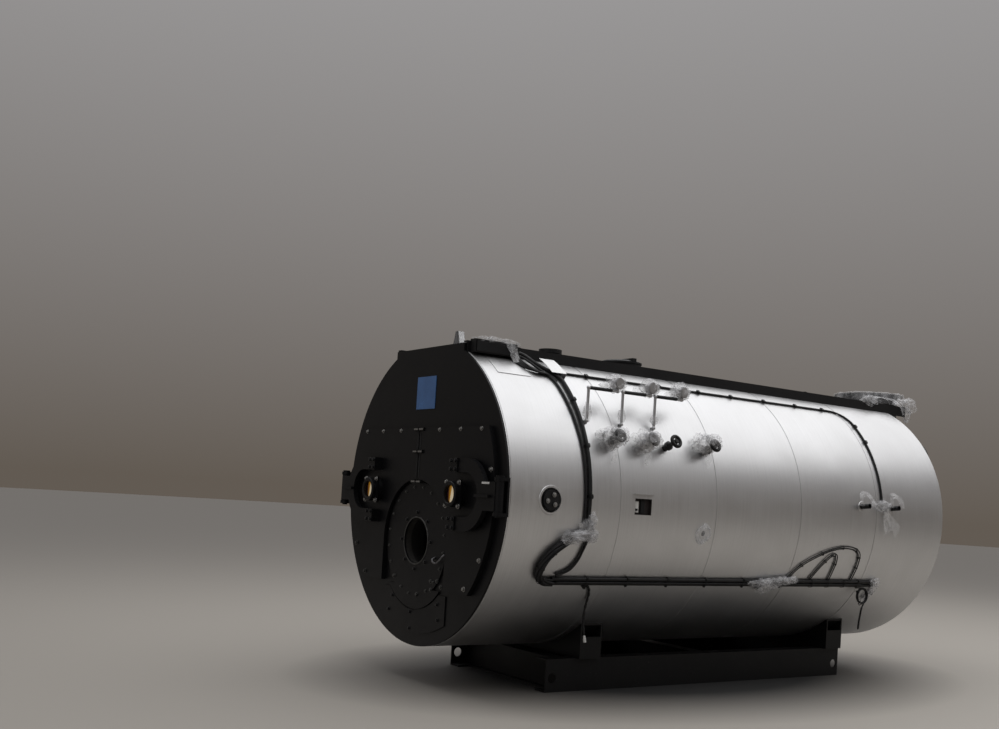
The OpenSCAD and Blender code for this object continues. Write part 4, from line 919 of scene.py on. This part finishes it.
def add_front_tail():
    """Free end that hangs from the lower run, with a pale connector."""
    path = smooth_path(FRONT_TAIL, 6)
    end, last = path[-1], (path[-1] - path[-4]).normalized()
    bm = bmesh.new()
    add_turned(bm, [(0.0075, -0.012), (0.011, -0.008), (0.011, 0.012), (0.0135, 0.014), (0.0135, 0.046),
                    (0.012, 0.05), (0.0095, 0.05), (0.0095, 0.03), (0, 0.03)], facing(end, last), 20)
    plug = shape_piece("front_tail_connector", bm, PALE_PLASTIC, VESSEL, smooth=35)
    bm = bmesh.new()
    tie_path(bm, path, (20, 34, 44), 0.0075, 0.0075, 0.005)
    ties = shape_piece("front_tail_ties", bm, TIE_NYLON, VESSEL, smooth=40)
    wrap = add_tail_wrap("front_tail_wrap", path[8:-4])
    tail = add_cord_curve("front_tail_cable", path, TAIL_R)
    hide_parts("front_tail")


def coil_middle():
    """Middle of the coil, which hangs upright under the lower run."""
    cable = on_jacket(COIL_BACK, RUN_ANGLES[1], LOOM_R)
    return cable - Vector((0, 0, LOOM_R + COIL_R + 0.0153))


def coil_path():
    """From under the end of the lower run, through nearly two and a half turns, to the hanging tail."""
    middle = coil_middle()
    coil = [middle + Vector((COIL_STRAND, y, COIL_R + 0.0075)) for y in (-0.12, -0.06)]
    steps = 40
    for k in range(int(COIL_TURNS * steps) + 1):
        t = k / steps
        # the cord shifts around the coil's section once in three turns, so that the turns lie side by side
        lean = TAU * t / 3 + 0.654
        r = COIL_R + COIL_STRAND * math.cos(lean)
        a = TAU * (0.25 - t)
        coil.append(middle + Vector((COIL_STRAND * math.sin(lean), r * math.cos(a), r * math.sin(a))))
    return coil[:-2] + smooth_path(coil[-2:] + REAR_TAIL, 6)


def add_rear_coil():
    """Coil of spare cable at the rear, with its ties and the wrapped tail."""
    path = coil_path()
    cord = add_cord_curve("rear_coil_cable", path, TAIL_R)
    wrap = add_tail_wrap("rear_tail_wrap", path[-20:-1])
    bm = bmesh.new()
    middle = coil_middle()
    for a in (math.radians(d) for d in (20, 150, 255)):
        out = Vector((0, math.cos(a), math.sin(a)))
        add_tie(bm, middle + COIL_R * out, Vector((0, -math.sin(a), math.cos(a))), out, 0.0165, 0.0165, 0.012)
    ties = shape_piece("rear_coil_ties", bm, TIE_NYLON, VESSEL, smooth=40)
    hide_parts("rear_coil", "rear_tail")


# Wrapping film
def add_crumple(bm, middle, radii, seed, turn=None, ridge=0.3, levels=4):
    """Ball of crumpled film: an ellipsoid with folds."""
    turn = turn or Matrix.Identity(3)
    ball = bmesh.ops.create_icosphere(bm, subdivisions=levels, radius=1.0)
    shift = Vector((seed * 7.3, seed * 3.1, seed * 5.7))
    for v in ball["verts"]:
        d = v.co.normalized()
        soft = noise.noise(d * 1.7 + shift)
        fold = abs(noise.noise(d * 3.1 + shift * 1.3)) + 0.5 * abs(noise.noise(d * 7.0 + shift * 0.7))
        size = 1 + ridge * (0.9 * soft + 0.7 - 2.0 * fold)
        v.co = middle + turn @ Vector((d.x * radii[0], d.y * radii[1], d.z * radii[2])) * size


def add_flap(bm, path, width, seed, rows=10, rise=0.012):
    """Loose creased strip of film along a path; width is a function of the share of the path."""
    last = len(path) - 1
    grid = []
    for i, (point, (_, side, up)) in enumerate(zip(path, frames_along(path))):
        wide = width(i / last)
        row = []
        for k in range(rows + 1):
            across = k / rows - 0.5
            wave = (noise.noise(Vector((across * 5 + seed, i * 0.35, seed)))
                    + 0.5 * noise.noise(Vector((across * 13, i * 0.9 + seed, seed))))
            sway = 0.5 * rise * noise.noise(Vector((seed, i * 0.6, across * 9)))
            row.append(bm.verts.new(point + across * wide * side + rise * wave * up + sway * side))
        grid.append(row)
    join_rows(bm, grid)


def tangent_turn(degrees):
    """Matrix whose X is out of the jacket, Y along the body and Z up around it."""
    out = outward(degrees)
    up = Vector((-out.z, 0, out.x))
    return Matrix((out, Vector((0, 1, 0)), up)).transposed()


def add_wads(bm, wads, seed, ridge, inner=None):
    """Wads of film on the jacket, from rows of back, degrees, height and radii.

    inner is the share, the first seed and the ridge of a smaller wad inside each.
    """
    for i, (back, degrees, height, radii) in enumerate(wads):
        place, turn = on_jacket(back, degrees, height), tangent_turn(degrees)
        add_crumple(bm, place, radii, seed + i, turn, ridge)
        if inner:
            share, inner_seed, inner_ridge = inner
            add_crumple(bm, place, [share * r for r in radii], inner_seed + i, turn, inner_ridge, 3)


def film_piece(name, bm):
    shape_piece(name, bm, WRAPPING_FILM, VESSEL, smooth=180)


def add_gauge_films():
    """Film over each gauge, down its arm and around the foot of its pipe."""
    low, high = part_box("gauge_pipes")
    head_x = (low.x + high.x) / 2
    bm = bmesh.new()
    for i, back in enumerate(GAUGE_BACKS):
        head = Vector((head_x, FRONT_Y + back + 0.34, high.z - 0.045))
        foot = Vector((GAUGE_PIPE_X, FRONT_Y + back, GAUGE_PIPE_Z + 0.07))
        add_crumple(bm, head, (0.075, 0.1, 0.078), 1.1 + i)
        add_crumple(bm, head + Vector((0.012, 0.015, -0.008)), (0.068, 0.085, 0.068), 3.7 + i, levels=3)
        add_crumple(bm, head + Vector((0.0, -0.1, -0.035)), (0.03, 0.085, 0.035), 5.1 + i, levels=3)
        add_crumple(bm, foot, (0.034, 0.036, 0.085 - 0.02 * i), 7.7 + i, levels=3)
    film_piece("gauge_films", bm)


def add_valve_films():
    """Film over three of the handwheels, with an end of it that hangs down."""
    bm = bmesh.new()
    for i, (back, degrees) in enumerate(((VALVE_BACKS[0], 23), (VALVE_BACKS[1], 23), (VALVE_BACKS[3], 24.5))):
        turn = tangent_turn(degrees)
        add_crumple(bm, on_jacket(back - 0.04, degrees, 0.05), (0.085, 0.11, 0.095), 9.3 + i, turn, 0.4)
        add_crumple(bm, on_jacket(back - 0.01, degrees, 0.07), (0.07, 0.085, 0.075), 10.9 + i, turn, 0.4)
        add_crumple(bm, on_jacket(back + 0.005, degrees - 0.5, 0.15), (0.05, 0.085, 0.08), 12.7 + i, turn, 0.35)
        hang = [on_jacket(back + 0.01 * math.sin(k), degrees - 3 - 1.1 * k, 0.05 - 0.006 * k) for k in range(6)]
        add_flap(bm, smooth_path(hang, 4), lambda t: 0.09 - 0.05 * t, 14.1 + i)
    film_piece("valve_films", bm)


def add_cable_films():
    """Film around the joints of the cables: at the service loop, on the junction box and on the lower run."""
    bm = bmesh.new()
    add_wads(bm, (
        (0.84, -8.5, 0.03, (0.05, 0.07, 0.06)), (0.78, -11.5, 0.05, (0.05, 0.1, 0.05)),
        (0.68, -12.5, 0.05, (0.055, 0.1, 0.05)), (0.9, -11.5, 0.03, (0.04, 0.07, 0.06)),
        (0.885, -6, 0.03, (0.03, 0.045, 0.06))), 20.3, 0.4, (0.85, 24.9, 0.45))
    film_piece("loop_films", bm)
    bm = bmesh.new()
    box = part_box("junction_box")[1]
    for i, (back, radii) in enumerate((
            (0.17, (0.05, 0.11, 0.03)), (0.3, (0.06, 0.12, 0.04)), (0.43, (0.06, 0.1, 0.035)))):
        add_crumple(bm, Vector((box.x - 0.05, FRONT_Y + back, box.z)), radii, 30.9 + i, None, 0.45)
    drape = [(box.x + out, FRONT_Y + back, box.z + up) for out, back, up in (
        (0.004, 0.4, 0.01), (0.03, 0.42, -0.04), (0.045, 0.44, -0.11), (0.06, 0.46, -0.17))]
    add_flap(bm, smooth_path(drape, 5), lambda t: 0.16 - 0.05 * t, 33.3)
    film_piece("top_films", bm)
    bm = bmesh.new()
    add_wads(bm, (
        (3.12, -28.9, 0.04, (0.025, 0.1, 0.035)), (3.24, -29.6, 0.05, (0.035, 0.09, 0.075)),
        (3.36, -28.6, 0.05, (0.035, 0.1, 0.055)), (3.5, -27.5, 0.045, (0.03, 0.1, 0.04)),
        (3.62, -27.2, 0.04, (0.025, 0.08, 0.035)), (3.2, -31.6, 0.015, (0.012, 0.05, 0.03))),
        40.2, 0.5, (0.8, 44.2, 0.5))
    film_piece("run_films", bm)


def add_rear_films():
    """Film over the plug, over the nipples at the rear and on the end of the lower run."""
    bm = bmesh.new()
    add_wads(bm, ((PLUG_BACK, PLUG_ANGLE, 0.008, (0.014, 0.09, 0.085)),), 47.1, 0.3)
    film_piece("plug_film", bm)
    bm = bmesh.new()
    turn = tangent_turn(6)
    add_crumple(bm, on_jacket(4.83, 6.0, 0.03), (0.035, 0.11, 0.055), 50.2, turn, 0.45)
    add_crumple(bm, on_jacket(4.86, 5.6, 0.03), (0.03, 0.08, 0.045), 51.2, turn, 0.5, 3)
    for i, back in enumerate(NIPPLE_BACKS):
        ring = [on_jacket(back + 0.09 * math.cos(a), 6.0 + 4.6 * math.sin(a), 0.06 + 0.02 * math.cos(2 * a))
                for a in (math.radians(-10 + 20 * k) for k in range(11))]
        add_flap(bm, smooth_path(ring, 3), lambda t: 0.07, 52.4 + i)
    for lean in (0.01, 0.03):
        hang = [on_jacket(4.85 + lean * k, 4.5 - 1.2 * k, 0.03 + 0.008 * math.sin(k + 40 * lean))
                for k in range(9)]
        add_flap(bm, smooth_path(hang, 4), lambda t: 0.07 + 0.08 * t, 3.3 + 90 * lean)
    film_piece("rear_films", bm)
    bm = bmesh.new()
    add_wads(bm, (
        (4.96, -28.4, 0.03, (0.03, 0.07, 0.05)), (5.0, -31.5, 0.022, (0.02, 0.06, 0.07)),
        (4.98, -35, 0.02, (0.018, 0.045, 0.075)), (4.96, -38.5, 0.02, (0.018, 0.04, 0.05))), 60.2, 0.45)
    film_piece("coil_film", bm)


def add_corner_clip():
    """Pale bent clip at the top corner of the front plate."""
    bm = bmesh.new()
    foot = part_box("front_plate")[1].z + 0.0005
    bend = [(0.385, foot), (0.405, foot), (0.435, foot + 0.11), (0.48, foot + 0.11), (0.51, foot), (0.53, foot)]
    middle, half_width = FRONT_Y + 0.035, 0.03
    edges = (middle - half_width, middle + half_width)
    join_rows(bm, [[bm.verts.new((x, y, z)) for x, z in bend] for y in edges])
    bmesh.ops.solidify(bm, geom=bm.faces[:], thickness=0.004)
    shape_piece("corner_clip", bm, JACKET_SHEET, VESSEL, smooth=20)


def add_kerb_films():
    """Film that lies over the rear end of the right kerb and hangs down behind it."""
    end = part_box("right_kerb")[1]
    bm = bmesh.new()
    for i, (x, y, z, radii) in enumerate((
            (end.x - 0.01, 2.6, end.z + 0.02, (0.05, 0.12, 0.055)),
            (end.x - 0.03, end.y - 0.03, end.z + 0.03, (0.07, 0.12, 0.06)),
            (end.x, end.y + 0.06, end.z + 0.02, (0.06, 0.1, 0.085)),
            (end.x, end.y + 0.035, end.z - 0.08, (0.035, 0.05, 0.09)))):
        add_crumple(bm, Vector((x, y, z)), radii, 70.3 + i, None, 0.45)
    over = [(end.x + out, y, end.z + up) for out, y, up in (
        (-0.3, 3.05, 0.12), (-0.15, 3.1, 0.1), (-0.03, 3.14, 0.05), (0.02, 3.17, -0.01), (0.025, 3.2, -0.08))]
    add_flap(bm, smooth_path(over, 5), lambda t: 0.42 - 0.2 * t, 75.1, 16, 0.02)
    film_piece("kerb_films", bm)


def add_flue_film():
    """Film over the flue's flange, tied under it."""
    low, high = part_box("flue_collar")
    middle = Vector(((low.x + high.x) / 2, (low.y + high.y) / 2, high.z))
    flange_r = (high.x - low.x) / 2
    bm = bmesh.new()
    rings = []
    for grow, z in ((0.02, -0.13), (0.03, -0.1), (0.012, -0.05), (0.016, -0.01), (0.006, 0.012),
                    (-0.08, 0.01), (-0.2, 0.004), (-0.3, 0.0)):
        ring = []
        for c, s in circle(96):
            fold = (noise.noise(Vector((5 * c, 5 * s, 2.0 * z)))
                    + 0.6 * noise.noise(Vector((16 * c, 16 * s, 9 * z))))
            r = flange_r + grow + 0.018 * fold
            ring.append(bm.verts.new(middle + Vector((r * c, r * s, z + 0.008 * fold))))
        rings.append(ring)
    join_rings(bm, rings)
    film_piece("flue_film", bm)


# Stage: the floor's colour, and the half sizes of the painted shadow on it under the body
FLOOR_GREY = (0.372, 0.346, 0.31)
SHADE_X, SHADE_Y = 2.1, 3.3


def set_stage():
    """Floor with a painted shadow under the body, a soft grey surround, a wide lamp overhead and a weak one in
    front.
    """
    bm = bmesh.new()
    bmesh.ops.create_circle(bm, cap_ends=True, segments=96, radius=90)
    mesh = bpy.data.meshes.new("floor")
    bm.to_mesh(mesh)
    bm.free()
    floor = bpy.data.objects.new("floor", mesh)
    bpy.context.collection.objects.link(floor)
    f = Finish("floor_grey_painted_shadow", FLOOR_GREY, 0.7)
    n = f.nodes
    length = n.add("ShaderNodeVectorMath", {"operation": "LENGTH"})
    n.put(n.multiply_axes(n.place(), (1 / SHADE_X, 1 / SHADE_Y, 0)), length.inputs[0])
    # painted shadow: the floor turns near black in an oval under the body and fades to its grey outside
    outside_painted_shadow = n.spread(length.outputs["Value"], 0.6, 1.25)
    f.set("Base Color", n.blend(outside_painted_shadow, rgba(0.02, 0.02, 0.02), rgba(*FLOOR_GREY)))
    mesh.materials.append(f.material)
    world = bpy.data.worlds.new("surround")
    bpy.context.scene.world = world
    world.use_nodes = True
    n = Nodes(world.node_tree)
    direction = n.add("ShaderNodeSeparateXYZ", Vector=n.add("ShaderNodeTexCoord").outputs["Generated"])
    height = n.spread(direction.outputs["Z"], 0.0, 0.75)
    sky = n.blend(height, rgba(0.122, 0.103, 0.085), rgba(0.47, 0.47, 0.485))
    n.put(sky, world.node_tree.nodes["Background"].inputs["Color"])
    add_lamp("overhead", (1.5, 4.0, 9.5), (1.5, 4.0, 0.0), 17.0, 21.0, 1220)
    add_lamp("front_fill", (3.0, -14.0, 5.0), (0.0, -3.0, 1.6), 6.0, 4.0, 60)


def add_lamp(name, place, aim, width, length, power):
    data = bpy.data.lights.new(name, "AREA")
    data.shape = "RECTANGLE"
    data.size, data.size_y = width, length
    data.energy = power
    lamp = bpy.data.objects.new(name, data)
    bpy.context.collection.objects.link(lamp)
    turn = (Vector(aim) - Vector(place)).to_track_quat("-Z", "Y").to_matrix().to_4x4()
    lamp.matrix_world = Matrix.Translation(place) @ turn


set_camera()
set_stage()
finish_nodes()
add_bolts()
add_front_trim()
add_side_trim()
add_front_cables()
add_lower_cables()
add_cable_cover()
add_conduit()
add_ties()
add_clip_locks()
add_front_tail()
add_rear_coil()
add_corner_clip()
add_gauge_films()
add_valve_films()
add_cable_films()
add_rear_films()
add_kerb_films()
add_flue_film()

scene = bpy.context.scene
scene.view_settings.view_transform = "Standard"
